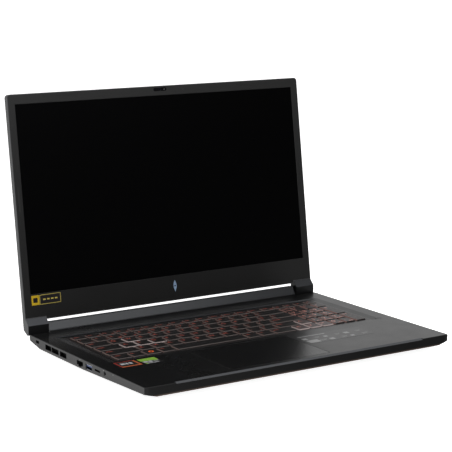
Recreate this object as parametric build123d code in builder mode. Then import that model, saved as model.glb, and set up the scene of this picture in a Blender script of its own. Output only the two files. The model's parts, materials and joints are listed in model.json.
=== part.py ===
from build123d import *
from math import cos, hypot, radians, sin
import os

# A large notebook computer, open. X runs along the width and Z up. Sketches on BASE measure Y
# from the front edge of the base, and sketches on LID lie on the face of the lid: X along the
# hinge, V up the lid and N out of the screen. The origin is on the table, midway along both.

# ---------------------------------------------------------------- driving dimensions
WIDTH = 400.0
BODY_DEPTH = 275.2
SHOULDER_DEPTH = 252.0
BAR_HALF = 172.5
DECK_TOP = 19.0
PARTING = 8.0
FLOOR = 2.0
WALL = 1.8
DECK_THICKNESS = 2.2
FLOOR_THICKNESS = 1.4
SIDE_INSET = 22.0
FRONT_INSET = 28.0
REAR_INSET = 4.0
RAMP_START = 198.0
RAMP_END_HEIGHT = 13.1
RAMP_SLOPE = (RAMP_END_HEIGHT - FLOOR) / (SHOULDER_DEPTH + 1 - RAMP_START)
RAMP_MEETS = RAMP_START + (PARTING - FLOOR) / RAMP_SLOPE
RAMP_LAST = FLOOR + RAMP_SLOPE * (SHOULDER_DEPTH - RAMP_START)
CORNER_X = 5.0
CORNER_Y = 1.2
# Under each front corner a facet climbs from a line across the corner to the corner itself.
FACET_X = 186.0
FACET_DEPTH = 128.0
FACET_HEIGHT = 11.6
FACET_RUN = WIDTH / 2 - FACET_X
FACET_LENGTH = hypot(FACET_RUN, FACET_DEPTH)
FACET_SLOPE_X = (FACET_HEIGHT - PARTING) / FACET_RUN
FACET_SLOPE_Y = (PARTING - FACET_HEIGHT) / FACET_DEPTH
FACET_SHEET = 0.8
FACET_LAP = 1.6
FACET_LAP_DEPTH = FACET_DEPTH * (1 + FACET_LAP / FACET_RUN)

LID_WIDTH = 401.0
LID_THICKNESS = 7.0
LID_TOP = 226.3
LID_BOTTOM = -30.0
LID_SHOULDER = -27.2
LID_WALL = 1.2
LEAN_BACK = 8.25
CLOSED_GAP = 0.8
ACTIVE_WIDTH = 381.9
ACTIVE_HEIGHT = 214.8
BEZEL = 0.9
HINGE_DEPTH = 264.3
HINGE_RISE = 5.0
HINGE_V = -37.5
HINGE_N = CLOSED_GAP - HINGE_RISE
SHAFT_RADIUS = 1.8
SHAFT_CLEARANCE = 0.05

ARM_INNER = 174.0
ARM_OUTER = 200.0

BOARD_BOTTOM = 7.8
BOARD_TOP = 9.0

UNIT = 18.4
ROW_PITCH = 19.2
KEY_GAP = 2.6
KEY_HEIGHT = 2.5
KEY_PROUD = 0.15
KEY_WALL = 1.0
KEY_TAPER = 6.0
KEY_TRAVEL = 1.6
KEYS_LEFT = -169.0
MAIN_RIGHT = 107.0
PAD_PITCH = 15.5
ARROW_PITCH = 17.2
FIRST_ROW = 109.0
FUNCTION_ROW = 205.0
FUNCTION_DEPTH = 12.0
WELL_DEPTH = 1.1
WELL_HALF = 173.0
WELL_TOP_HALF = 182.0

FIT_GAP = 0.3
CONTACT = 0.1
TINY = 0.01
BEYOND = 1.0

# ---------------------------------------------------------------- reference planes
REAR_REACH = (HINGE_DEPTH + (LID_TOP - HINGE_V) * sin(radians(LEAN_BACK))
              + (LID_THICKNESS + HINGE_N) * cos(radians(LEAN_BACK)))
FRONT_Y = -REAR_REACH / 2
HINGE_Z = DECK_TOP + HINGE_RISE
LEAN_SIN = sin(radians(LEAN_BACK))
LEAN_COS = cos(radians(LEAN_BACK))

BASE = Plane(origin=(0, FRONT_Y, 0))
SIDE = Plane(origin=(0, FRONT_Y, 0), x_dir=(0, 1, 0), z_dir=(1, 0, 0))
LID_ORIGIN = (0,
              FRONT_Y + HINGE_DEPTH - HINGE_V * LEAN_SIN + HINGE_N * LEAN_COS,
              HINGE_Z - HINGE_V * LEAN_COS - HINGE_N * LEAN_SIN)
LID = Plane(origin=LID_ORIGIN, x_dir=(1, 0, 0), z_dir=(0, -LEAN_COS, LEAN_SIN))
LID_SIDE = Plane(origin=LID_ORIGIN, x_dir=(0, -LEAN_COS, LEAN_SIN), z_dir=(-1, 0, 0))


# ---------------------------------------------------------------- helpers
def area(x_low, x_high, y_low, y_high, radius=0.0, mode=Mode.ADD):
    """Draw a rectangle between two corners in the current sketch."""
    with Locations(((x_low + x_high) / 2, (y_low + y_high) / 2)):
        if radius:
            RectangleRounded(x_high - x_low, y_high - y_low, radius, mode=mode)
        else:
            Rectangle(x_high - x_low, y_high - y_low, mode=mode)


def twin_areas(near, far, y_low, y_high, radius=0.0, mode=Mode.ADD):
    """Draw a rectangle and its mirror image, between two distances from the middle."""
    for side in (-1, 1):
        area(*sorted((side * near, side * far)), y_low, y_high, radius, mode)


def shape(points):
    """Add a closed polygon to the sketch being drawn."""
    Polygon(*points, align=None)


def mirrored(points):
    """Turn the right half of an outline, front to rear, into the whole outline."""
    return points + [(-x, y) for x, y in reversed(points)]


def footprint(inset=0.0):
    """Outline of the base seen from above, with a clipped front and a recess for each arm."""
    side = WIDTH / 2 - inset
    shape(mirrored([
        (side - CORNER_X, inset),
        (side, CORNER_Y + inset),
        (side, SHOULDER_DEPTH - inset),
        (BAR_HALF - inset, SHOULDER_DEPTH - inset),
        (BAR_HALF - inset, BODY_DEPTH - inset),
    ]))


def cover_outline(inset=0.0):
    """Outline of the bottom cover: the footprint, cut across each front corner along the facet."""
    side = WIDTH / 2 - inset
    along_x, along_y = FACET_RUN / FACET_LENGTH, FACET_DEPTH / FACET_LENGTH
    reach = FACET_X * along_y - inset
    shape(mirrored([
        ((reach + along_x * inset) / along_y, inset),
        (side, (along_y * side - reach) / along_x),
        (side, SHOULDER_DEPTH - inset),
        (BAR_HALF - inset, SHOULDER_DEPTH - inset),
        (BAR_HALF - inset, BODY_DEPTH - inset),
    ]))


def facet_plane(side):
    """Plane of the facet under the left (-1) or right (1) front corner, facing up."""
    return Plane(origin=(side * FACET_X, FRONT_Y, PARTING), x_dir=(0, 1, FACET_SLOPE_Y),
                 z_dir=(-side * FACET_SLOPE_X, -FACET_SLOPE_Y, 1))


def lid_outline(inset=0.0):
    """Outline of the lid on its own face, cut back over each hinge arm."""
    side = LID_WIDTH / 2 - inset
    shape(mirrored([
        (ARM_INNER - inset, LID_BOTTOM + inset),
        (ARM_INNER - inset, LID_SHOULDER + inset),
        (side, LID_SHOULDER + inset),
        (side, LID_TOP - inset),
    ]))


def block(plane, x_low, x_high, y_low, y_high, low, high, radius=0.0):
    """A plain or round-cornered plate between two heights above a plane."""
    with BuildPart() as made:
        with BuildSketch(plane.offset(low)):
            area(x_low, x_high, y_low, y_high, radius)
        extrude(amount=high - low)
    return made.part


def finish(piece, name):
    """Label a finished piece and write it."""
    piece.label = name
    export_step(piece, f"parts/{name}.step")


os.makedirs("parts", exist_ok=True)


# ---------------------------------------------------------------- side openings
# Each opening is (depth from the front, centre height, length, height).
VENTS = [(207.0, 13.85, 14.0, 5.7), (191.0, 13.85, 16.0, 5.7), (172.5, 13.85, 15.0, 5.7)]
NETWORK = (134.75, 13.55, 13.5, 4.7)
NETWORK_STEM = (134.75, 10.4, 6.6, 1.7)
USB_LEFT = (115.3, 13.0, 13.8, 6.0)
CARD = (96.7, 14.0, 11.4, 2.3)
LOCK = (232.9, 15.0, 7.5, 3.2)
AUDIO_DEPTH = 81.0
AUDIO_Z = 14.6
AUDIO_RADIUS = 1.8
AUDIO_NOSE = 2.6
USB_RIGHT = [(115.3, 13.0, 13.8, 6.0), (93.0, 13.0, 13.8, 6.0)]
LIGHTS = [(72.0, 15.2, 2.4, 1.0), (64.0, 15.2, 2.4, 1.0)]
LEFT_OPENINGS = VENTS + [NETWORK, NETWORK_STEM, USB_LEFT, CARD, LOCK]
RIGHT_OPENINGS = VENTS + USB_RIGHT + LIGHTS
# Rear openings are (x, centre height, width, height).
VIDEO = (18.0, 13.4, 15.4, 5.6)
USB_C = (-10.0, 13.4, 9.4, 3.4)
POWER_X = 50.0
POWER_Z = 12.9
POWER_RADIUS = 3.6
EXHAUST_INNER = 86.0
EXHAUST_OUTER = 146.0
EXHAUST_PITCH = 7.5
EXHAUST_SLOT = 5.6
EXHAUST_LOW = 10.2
EXHAUST_HIGH = 16.6
EXHAUST_COUNT = 8

# ---------------------------------------------------------------- deck
PAD_X = -24.0
PAD_WIDTH = 128.0
PAD_FRONT = 10.0
PAD_REAR = 95.0
PAD_RADIUS = 2.5
FRAME_HALF = 171.5
FRAME_FRONT = 106.0
FRAME_REAR = 221.0
WELL_FRONT = 104.0
WELL_REAR = 223.5
BEVEL_HALF = 163.0
BEVEL_DEPTH = 3.5
BEVEL_DROP = 1.3
MOUNT_IN = 149.0
MOUNT_OUT = 171.0
MOUNT_FRONT = 258.0
MOUNT_REAR = 271.0
WELL_FLOOR = DECK_TOP - WELL_DEPTH
WELL_FRONT_SLOPE = 3.5
WELL_REAR_SLOPE = 2.5
EDGE_BREAK = 0.45
CUT_REACH = 6.0
WIDE = 2 * WIDTH
OPENING_RADIUS = 0.8


def openings(places):
    """Round-cornered openings in a side wall, each (depth, centre height, length, height)."""
    for depth, height, length, tall in places:
        with Locations((depth, height)):
            RectangleRounded(length, tall, min(OPENING_RADIUS, tall / 3))


# Sloping floors that close the deck above its front corner facets.
with BuildPart() as facet_floors:
    with BuildSketch(BASE.offset(PARTING)):
        for side in (-1, 1):
            shape([(side * (FACET_X - FACET_LAP), 0), (side * WIDTH / 2, 0),
                   (side * WIDTH / 2, FACET_LAP_DEPTH)])
    extrude(amount=DECK_TOP - PARTING)
    with BuildSketch(BASE.offset(PARTING)):
        footprint()
    extrude(amount=DECK_TOP - PARTING, mode=Mode.INTERSECT)
    for side in (-1, 1):
        with BuildSketch(facet_plane(side).offset(FACET_SHEET)):
            Rectangle(WIDE, FACET_X)
        extrude(amount=DECK_TOP, mode=Mode.SUBTRACT)

with BuildPart() as deck:
    with BuildSketch(BASE.offset(PARTING)):
        footprint()
    extrude(amount=DECK_TOP - PARTING)
    chamfer(deck.faces().sort_by(Axis.Z)[-1].outer_wire().edges(), EDGE_BREAK)
    with BuildSketch(BASE.offset(PARTING)):
        footprint(WALL)
    extrude(amount=DECK_TOP - DECK_THICKNESS - PARTING, mode=Mode.SUBTRACT)
    # Facets that lift the lower edge of both front corners, each closed by a sloping floor.
    add(facet_floors.part)
    for side in (-1, 1):
        with BuildSketch(facet_plane(side)):
            Rectangle(WIDE, FACET_X)
        extrude(amount=-DECK_TOP, mode=Mode.SUBTRACT)
    # Ramp that lifts the lower edge of both rear corners.
    for plane in (SIDE.offset(BAR_HALF), SIDE.offset(-WIDTH / 2 - BEYOND)):
        with BuildSketch(plane):
            shape([(RAMP_START, FLOOR), (SHOULDER_DEPTH + BEYOND, RAMP_END_HEIGHT),
                   (SHOULDER_DEPTH + BEYOND, FLOOR)])
        extrude(amount=WIDTH / 2 - BAR_HALF + BEYOND, mode=Mode.SUBTRACT)
    # Sloping floor that closes each raised rear corner.
    for plane in (SIDE.offset(BAR_HALF - WALL), SIDE.offset(-WIDTH / 2)):
        with BuildSketch(plane):
            shape([(RAMP_MEETS, PARTING), (SHOULDER_DEPTH, RAMP_LAST),
                   (SHOULDER_DEPTH, RAMP_LAST + FLOOR_THICKNESS), (RAMP_MEETS, PARTING + FLOOR_THICKNESS)])
        extrude(amount=WIDTH / 2 - BAR_HALF + WALL)
    # Polished bevel along the front edge.
    with BuildSketch(SIDE.offset(-BEVEL_HALF)):
        shape([(-BEYOND, DECK_TOP - BEVEL_DROP * (1 + BEYOND / BEVEL_DEPTH)), (BEVEL_DEPTH, DECK_TOP),
               (BEVEL_DEPTH, DECK_TOP + BEYOND), (-BEYOND, DECK_TOP + BEYOND)])
    extrude(amount=2 * BEVEL_HALF, mode=Mode.SUBTRACT)
    # Keyboard well with sloping sides, then the opening for the keyboard frame.
    with BuildSketch(BASE.offset(WELL_FLOOR)):
        area(-WELL_HALF, WELL_HALF, WELL_FRONT, WELL_REAR)
    with BuildSketch(BASE.offset(DECK_TOP + TINY)):
        area(-WELL_TOP_HALF, WELL_TOP_HALF, WELL_FRONT - WELL_FRONT_SLOPE, WELL_REAR + WELL_REAR_SLOPE)
    loft(mode=Mode.SUBTRACT)
    with BuildSketch(BASE.offset(DECK_TOP - CUT_REACH)):
        area(-FRAME_HALF, FRAME_HALF, FRAME_FRONT, FRAME_REAR)
        area(PAD_X - PAD_WIDTH / 2, PAD_X + PAD_WIDTH / 2, PAD_FRONT, PAD_REAR, PAD_RADIUS)
        twin_areas(MOUNT_IN, MOUNT_OUT, MOUNT_FRONT, MOUNT_REAR)
    extrude(amount=CUT_REACH + BEYOND, mode=Mode.SUBTRACT)
    # Openings in the side walls.
    with BuildSketch(SIDE.offset(-WIDTH / 2 - BEYOND)):
        openings(LEFT_OPENINGS)
        with Locations((AUDIO_DEPTH, AUDIO_Z)):
            Circle(AUDIO_NOSE)
    extrude(amount=WALL + 1.5 * BEYOND, mode=Mode.SUBTRACT)
    with BuildSketch(SIDE.offset(WIDTH / 2 - WALL - BEYOND / 2)):
        openings(RIGHT_OPENINGS)
    extrude(amount=WALL + 1.5 * BEYOND, mode=Mode.SUBTRACT)
    # Openings in the rear wall.
    with BuildSketch(Plane.XZ.offset(-(FRONT_Y + BODY_DEPTH + BEYOND))):
        for slot in range(EXHAUST_COUNT):
            near = EXHAUST_INNER + EXHAUST_PITCH * (slot + 0.5) - EXHAUST_SLOT / 2
            twin_areas(near, near + EXHAUST_SLOT, EXHAUST_LOW, EXHAUST_HIGH, OPENING_RADIUS)
        for x, height, length, tall in (VIDEO, USB_C):
            with Locations((x, height)):
                RectangleRounded(length, tall, tall / 3)
        with Locations((POWER_X, POWER_Z)):
            Circle(POWER_RADIUS)
    extrude(amount=WALL + 1.5 * BEYOND, mode=Mode.SUBTRACT)
finish(deck.part, "deck")

# ---------------------------------------------------------------- hinge bar cover
BAR_WALL = 0.9
BAR_END = 1.5
BAR_OPEN_FRONT = 258.3
SHAFT_PASSAGE = SHAFT_RADIUS + 0.6
BAR_PROFILE = [(256.5, DECK_TOP), (257.2, DECK_TOP + 0.8), (261.5, DECK_TOP + 8.9),
               (263.0, DECK_TOP + 9.7), (270.5, DECK_TOP + 7.9), (BODY_DEPTH, DECK_TOP + 3.3),
               (BODY_DEPTH, DECK_TOP)]
with BuildPart() as hinge_bar_cover:
    with BuildSketch(SIDE.offset(-BAR_HALF)):
        shape(BAR_PROFILE)
    extrude(amount=2 * BAR_HALF)
    with BuildSketch(SIDE.offset(-BAR_HALF + BAR_END)):
        shape(BAR_PROFILE)
        offset(amount=-BAR_WALL, kind=Kind.INTERSECTION, mode=Mode.REPLACE)
    extrude(amount=2 * (BAR_HALF - BAR_END), mode=Mode.SUBTRACT)
    with BuildSketch(BASE.offset(DECK_TOP)):
        area(-BAR_HALF + BAR_END, BAR_HALF - BAR_END, BAR_OPEN_FRONT, BODY_DEPTH - BAR_WALL)
    extrude(amount=BAR_WALL + TINY, mode=Mode.SUBTRACT)
    with BuildSketch(SIDE.offset(-BAR_HALF - BEYOND)):
        with Locations((HINGE_DEPTH, HINGE_Z)):
            Circle(SHAFT_PASSAGE)
    extrude(amount=2 * (BAR_HALF + BEYOND), mode=Mode.SUBTRACT)
finish(hinge_bar_cover.part, "hinge_bar_cover")

# ---------------------------------------------------------------- bottom cover
INTAKE_PITCH = 6.0
INTAKE_SLOT = 2.4
INTAKE_LENGTH = 66.0
INTAKE_COUNT = 8
INTAKE_DEPTH = 206.0
GRILLE_X = 148.0
GRILLE_DEPTH = 45.0
GRILLE_PITCH = 4.0
GRILLE_COUNT = 6
GRILLE_SLOT = (9.0, 1.6)
FAN_X = 125.0
FAN_DEPTH = 212.0
BOARD_SPOTS = [(-165, 150), (0, 150), (165, 150), (-60, 250), (60, 250)]
SCREW_SPOTS = BOARD_SPOTS + [(-158, 62), (-55, 102), (55, 102), (158, 62), (-160, 262), (160, 262)]
SCREW_HEAD = 2.6
SCREW_SHANK = 1.2
HEAD_RECESS = 1.2
POST_RADIUS = 3.0


def wedge(inset, floor, run):
    """Section of the cut that makes a sloping side, measured outwards from the edge it starts at."""
    step = (PARTING - FLOOR) / run
    return [(BEYOND - inset, PARTING + BEYOND * step), (-run - BEYOND - inset, floor - BEYOND * step),
            (BEYOND - inset, floor - BEYOND * step)]


def under_wedges(inset, floor):
    """Cut the sloping sides, front, rear, corner facets and corner ramps under a block."""
    with BuildPart() as cutter:
        with BuildSketch(Plane.XZ.offset(-FRONT_Y)):
            for side in (-1, 1):
                shape([(side * (WIDTH / 2 + out), z) for out, z in wedge(inset, floor, SIDE_INSET)])
        extrude(amount=-BODY_DEPTH)
        with BuildSketch(SIDE.offset(-WIDTH)):
            shape([(-out, z) for out, z in wedge(inset, floor, FRONT_INSET)])
            shape([(BODY_DEPTH + out, z) for out, z in wedge(inset, floor, REAR_INSET)])
        extrude(amount=WIDE)
        for side in (-1, 1):
            along = Plane(origin=(side * FACET_X, FRONT_Y, 0), x_dir=(FACET_DEPTH, -side * FACET_RUN, 0),
                          z_dir=(-side * FACET_RUN, -FACET_DEPTH, 0))
            with BuildSketch(along.offset(-FACET_LENGTH - FRONT_INSET)):
                shape([(side * out, z) for out, z in wedge(inset, floor, SIDE_INSET)])
            extrude(amount=FACET_LENGTH + 2 * FRONT_INSET)
        for start in (BAR_HALF - inset, -WIDTH / 2 - BEYOND):
            with BuildSketch(SIDE.offset(start)):
                shape([(RAMP_START, floor), (SHOULDER_DEPTH + BEYOND, RAMP_END_HEIGHT + floor - FLOOR),
                       (SHOULDER_DEPTH + BEYOND, floor - BEYOND), (RAMP_START, floor - BEYOND)])
            extrude(amount=WIDTH / 2 - BAR_HALF + inset + BEYOND)
    return cutter.part


def screw_circles(radius):
    """Draw a circle at every screw in the current sketch."""
    with Locations(*SCREW_SPOTS):
        Circle(radius)


INNER_FLOOR = FLOOR + FLOOR_THICKNESS
with BuildPart() as hollow:
    with BuildSketch(BASE.offset(INNER_FLOOR)):
        cover_outline(WALL)
    extrude(amount=PARTING - INNER_FLOOR + BEYOND)
    add(under_wedges(WALL, INNER_FLOOR), mode=Mode.SUBTRACT)

with BuildPart() as bottom_cover:
    with BuildSketch(BASE.offset(FLOOR)):
        cover_outline()
    extrude(amount=PARTING - FLOOR)
    add(under_wedges(0.0, FLOOR), mode=Mode.SUBTRACT)
    add(hollow.part, mode=Mode.SUBTRACT)
    with BuildSketch(BASE.offset(FLOOR)):
        screw_circles(POST_RADIUS)
    extrude(amount=BOARD_BOTTOM - FLOOR)
    with BuildSketch(BASE.offset(FLOOR)):
        screw_circles(SCREW_HEAD + CONTACT)
    extrude(amount=HEAD_RECESS, mode=Mode.SUBTRACT)
    with BuildSketch(BASE.offset(FLOOR)):
        screw_circles(SCREW_SHANK)
    extrude(amount=PARTING, mode=Mode.SUBTRACT)
    with BuildSketch(BASE.offset(FLOOR - BEYOND)):
        for side in (-1, 1):
            with Locations((side * FAN_X, INTAKE_DEPTH)):
                with GridLocations(0, INTAKE_PITCH, 1, INTAKE_COUNT):
                    SlotOverall(INTAKE_LENGTH, INTAKE_SLOT)
            with Locations((side * GRILLE_X, GRILLE_DEPTH)):
                with GridLocations(GRILLE_PITCH, 0, GRILLE_COUNT, 1):
                    SlotOverall(*GRILLE_SLOT, rotation=90)
    extrude(amount=FLOOR_THICKNESS + 2 * BEYOND, mode=Mode.SUBTRACT)
finish(bottom_cover.part, "bottom_cover")

# ---------------------------------------------------------------- feet and screws
FRONT_FOOT = (90.0, 130.0, 36.0, 44.0)
REAR_FOOT = (-150.0, 150.0, 259.0, 266.0)
FOOT_RADII = (3.5, 3.0)
FOOT_EDGE = 0.5
with BuildPart() as rubber_feet:
    with BuildSketch(BASE):
        twin_areas(*FRONT_FOOT, FOOT_RADII[0])
        area(*REAR_FOOT, FOOT_RADII[1])
    extrude(amount=FLOOR)
    chamfer(rubber_feet.faces().group_by(Axis.Z)[0].edges(), FOOT_EDGE)
finish(rubber_feet.part, "rubber_feet")

HEAD_SUNK = 0.2
HEAD_HEIGHT = HEAD_RECESS - HEAD_SUNK
KEY_SOCKET = 1.1
KEY_SOCKET_DEPTH = 0.6
with BuildPart() as bottom_screws:
    with BuildSketch(BASE.offset(FLOOR + HEAD_SUNK)):
        screw_circles(SCREW_HEAD)
    extrude(amount=HEAD_HEIGHT)
    with BuildSketch(BASE.offset(FLOOR + HEAD_SUNK)):
        with Locations(*SCREW_SPOTS):
            RegularPolygon(KEY_SOCKET, 6)
    extrude(amount=KEY_SOCKET_DEPTH, mode=Mode.SUBTRACT)
    with BuildSketch(BASE.offset(FLOOR + HEAD_RECESS)):
        screw_circles(SCREW_SHANK - 2 * TINY)
    extrude(amount=BOARD_BOTTOM - FLOOR - HEAD_RECESS)
finish(bottom_screws.part, "bottom_screws")

# ---------------------------------------------------------------- keyboard
# Each key is (left, right, front, rear) of its cell; the cap is a gap smaller than the cell.


def row_cells(row, left, pitches):
    """Cells of one row, laid side by side from the left."""
    cells = []
    front = FIRST_ROW + row * ROW_PITCH
    for pitch in pitches:
        cells.append((left, left + pitch, front, front + ROW_PITCH))
        left += pitch
    return cells


def function_cells(left, pitches):
    """Cells of the shallow row at the rear."""
    cells = []
    for pitch in pitches:
        cells.append((left, left + pitch, FUNCTION_ROW, FUNCTION_ROW + FUNCTION_DEPTH + KEY_GAP))
        left += pitch
    return cells


SPACE_LEFT = -93.0
SPACE_RIGHT = 1.5
ARROW_LEFT = 70.1
UP_LEFT = ARROW_LEFT + ARROW_PITCH
HOME_LEFT = KEYS_LEFT + 1.75 * UNIT
ENTER_LEFT = HOME_LEFT + 11 * UNIT
SHIFT_RIGHT = KEYS_LEFT + 2.25 * UNIT + 10 * UNIT
TALL = 2 * ROW_PITCH
PAD_LAST = MAIN_RIGHT + 3 * PAD_PITCH

PAD_TALL_ROWS = (0, 2)
MAIN_TOPS = [UNIT] * 15
PAD_TOPS = [PAD_PITCH] * 4
BOTTOM_LEFT = [20.0, 17.0, 20.0, SPACE_LEFT + 112.0]
BOTTOM_RIGHT = [18.5, 19.0, ARROW_LEFT - SPACE_RIGHT - 37.5]
ZERO_LEFT = ARROW_LEFT + 3 * ARROW_PITCH


def pad_cells():
    """Cells of the number pad: a block of three columns, the outer column and the lowest row."""
    cells = []
    for row in (1, 2, 3, 4):
        cells += row_cells(row, MAIN_RIGHT, [PAD_PITCH] * 3)
    cells += row_cells(4, PAD_LAST, [PAD_PITCH])
    for row in PAD_TALL_ROWS:
        front = FIRST_ROW + row * ROW_PITCH
        cells.append((PAD_LAST, PAD_LAST + PAD_PITCH, front, front + TALL))
    return cells + row_cells(0, ZERO_LEFT, [MAIN_RIGHT + 2 * PAD_PITCH - ZERO_LEFT, PAD_PITCH])


key_groups = {
    "keys_function_row": function_cells(KEYS_LEFT, MAIN_TOPS) + function_cells(MAIN_RIGHT, PAD_TOPS),
    "keys_number_row": row_cells(4, KEYS_LEFT, [UNIT] * 13 + [2 * UNIT]),
    "keys_upper_row": row_cells(3, KEYS_LEFT, [1.5 * UNIT] + [UNIT] * 12 + [1.5 * UNIT]),
    "keys_home_row": row_cells(2, KEYS_LEFT, [1.75 * UNIT] + [UNIT] * 11),
    "keys_lower_row": row_cells(1, KEYS_LEFT, [2.25 * UNIT] + [UNIT] * 10 + [UP_LEFT - SHIFT_RIGHT]),
    "keys_bottom_row": row_cells(0, KEYS_LEFT, BOTTOM_LEFT) + row_cells(0, SPACE_RIGHT, BOTTOM_RIGHT),
    "keys_arrows": row_cells(0, ARROW_LEFT, [ARROW_PITCH] * 3) + row_cells(1, UP_LEFT, [ARROW_PITCH]),
    "keys_numpad": pad_cells(),
    "key_space": row_cells(0, SPACE_LEFT, [SPACE_RIGHT - SPACE_LEFT]),
    "key_enter": row_cells(2, ENTER_LEFT, [MAIN_RIGHT - ENTER_LEFT]),
}


def cap_areas(cells, margin, radius, mode=Mode.ADD):
    """One rounded rectangle for each cell, drawn in by a margin on every side."""
    for left, right, front, rear in cells:
        area(left + KEY_GAP / 2 + margin, right - KEY_GAP / 2 - margin,
             front + margin, rear - KEY_GAP - margin, radius, mode)


def frame_area(inset, mode=Mode.ADD):
    """The keyboard frame's outline, drawn in by a margin."""
    area(-FRAME_HALF + inset, FRAME_HALF - inset, FRAME_FRONT + inset, FRAME_REAR - inset, 0.0, mode)


CAP_BOTTOM = DECK_TOP + KEY_PROUD - KEY_HEIGHT
CAP_RADIUS = 0.9
CAP_INNER_RADIUS = 0.5
CAP_EDGE = 0.15
for name, cells in key_groups.items():
    with BuildPart() as caps:
        with BuildSketch(BASE.offset(CAP_BOTTOM)):
            cap_areas(cells, 0.0, CAP_RADIUS)
        extrude(amount=KEY_HEIGHT, taper=KEY_TAPER)
        chamfer(caps.faces().group_by(Axis.Z)[-1].edges(), CAP_EDGE)
        with BuildSketch(BASE.offset(CAP_BOTTOM)):
            cap_areas(cells, KEY_WALL, CAP_INNER_RADIUS)
        extrude(amount=KEY_HEIGHT - KEY_WALL, taper=KEY_TAPER, mode=Mode.SUBTRACT)
    finish(caps.part, name)

# The web fills the gaps between the keys; a rim carries it above the support plate.
PLATE_TOP = 14.8
PLATE_THICKNESS = 0.8
WEB_THICKNESS = 0.8
RIM = 1.0
APERTURE_GAP = 0.4
APERTURE_RADIUS = 1.2
all_cells = [cell for cells in key_groups.values() for cell in cells]
with BuildPart() as keyboard_frame:
    with BuildSketch(BASE.offset(WELL_FLOOR - WEB_THICKNESS)):
        frame_area(CONTACT)
        cap_areas(all_cells, -APERTURE_GAP, APERTURE_RADIUS, Mode.SUBTRACT)
    extrude(amount=WEB_THICKNESS)
    with BuildSketch(BASE.offset(PLATE_TOP)):
        frame_area(CONTACT)
        frame_area(RIM, Mode.SUBTRACT)
    extrude(amount=WELL_FLOOR - WEB_THICKNESS - PLATE_TOP)
finish(keyboard_frame.part, "keyboard_frame")

finish(block(BASE, -FRAME_HALF, FRAME_HALF, FRAME_FRONT, FRAME_REAR,
             PLATE_TOP - PLATE_THICKNESS, PLATE_TOP, 2.0), "keyboard_plate")

SHEET = 0.2
DOME_RADIUS = 2.4
DOME_HEIGHT = 1.2
DOME_TAPER = 20
with BuildPart() as key_domes:
    with BuildSketch(BASE.offset(PLATE_TOP)):
        frame_area(2 * RIM)
    extrude(amount=SHEET)
    with BuildSketch(BASE.offset(PLATE_TOP + SHEET)):
        for left, right, front, rear in all_cells:
            with Locations(((left + right) / 2, (front + rear - KEY_GAP) / 2)):
                Circle(DOME_RADIUS)
    extrude(amount=DOME_HEIGHT, taper=DOME_TAPER)
finish(key_domes.part, "key_domes")

# ---------------------------------------------------------------- touchpad
PAD_SUNK = 0.05
PAD_GLASS = 1.55
PAD_BOARD = 1.2
PAD_BOARD_INSET = 4.0
PAD_UNDERSIDE = DECK_TOP - PAD_SUNK - PAD_GLASS


def pad_area(inset, radius=0.0):
    """The touchpad's outline, drawn in by a margin."""
    area(PAD_X - PAD_WIDTH / 2 + inset, PAD_X + PAD_WIDTH / 2 - inset,
         PAD_FRONT + inset, PAD_REAR - inset, radius)


with BuildPart() as touchpad:
    with BuildSketch(BASE.offset(PAD_UNDERSIDE)):
        pad_area(FIT_GAP, PAD_RADIUS - FIT_GAP)
    extrude(amount=PAD_GLASS)
    with BuildSketch(BASE.offset(PAD_UNDERSIDE - PAD_BOARD)):
        pad_area(PAD_BOARD_INSET)
    extrude(amount=PAD_BOARD)
finish(touchpad.part, "touchpad")

# ---------------------------------------------------------------- main board and battery
BOARD_HALF = 186.0
# The board is a cross of rectangles, each (left, right, front, rear).
BOARD_AREAS = [(-BOARD_HALF, BOARD_HALF, 104.0, 146.0), (-183.0, -140.0, 72.0, 104.0),
               (140.0, 183.0, 58.0, 104.0), (-80.0, 80.0, 146.0, 254.0), (-24.0, 72.0, 254.0, 271.4)]
BOARD_HOLE = 1.7
CHIP_HEIGHT = 2.2
CHIP_SIZE = 6.0
COIL_SIZE = 5.5
COIL_SPOTS = [(-35, 235), (35, 235)]
with BuildPart() as mainboard:
    with BuildSketch(BASE.offset(BOARD_BOTTOM)):
        for edges in BOARD_AREAS:
            area(*edges)
        with Locations(*BOARD_SPOTS):
            Circle(BOARD_HOLE, mode=Mode.SUBTRACT)
    extrude(amount=BOARD_TOP - BOARD_BOTTOM)
    # Chips and coils stand on the board.
    with BuildSketch(BASE.offset(BOARD_TOP)):
        with Locations((0, 205)):
            with GridLocations(9.0, 12.0, 2, 3):
                Rectangle(CHIP_SIZE, CHIP_SIZE)
        with Locations(*COIL_SPOTS):
            with GridLocations(8.0, 0, 4, 1):
                Rectangle(COIL_SIZE, COIL_SIZE)
    extrude(amount=CHIP_HEIGHT)
finish(mainboard.part, "mainboard")

BATTERY = (-125.0, 125.0, 32.0, 98.0, 3.6, 10.4, 3.0)
finish(block(BASE, *BATTERY), "battery")

CARD_BOTTOM = BOARD_TOP + CONTACT
MEMORY_HALF = 34.0
MEMORY_SOCKETS = [(112.0, 115.0), (148.5, 151.5)]
MEMORY_STICKS = [(113.0, 142.0), (150.0, 179.0)]
MEMORY_TOP = CARD_BOTTOM + 3.2
with BuildPart() as memory_modules:
    with BuildSketch(BASE.offset(CARD_BOTTOM)):
        for front, rear in MEMORY_SOCKETS:
            area(-MEMORY_HALF, MEMORY_HALF, front, rear)
    extrude(amount=MEMORY_TOP - CARD_BOTTOM)
    with BuildSketch(BASE.offset(CARD_BOTTOM + 0.9)):
        for front, rear in MEMORY_STICKS:
            area(-MEMORY_HALF + 2 * CONTACT, MEMORY_HALF - 2 * CONTACT, front, rear)
    extrude(amount=1.2)
finish(memory_modules.part, "memory_modules")

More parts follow.
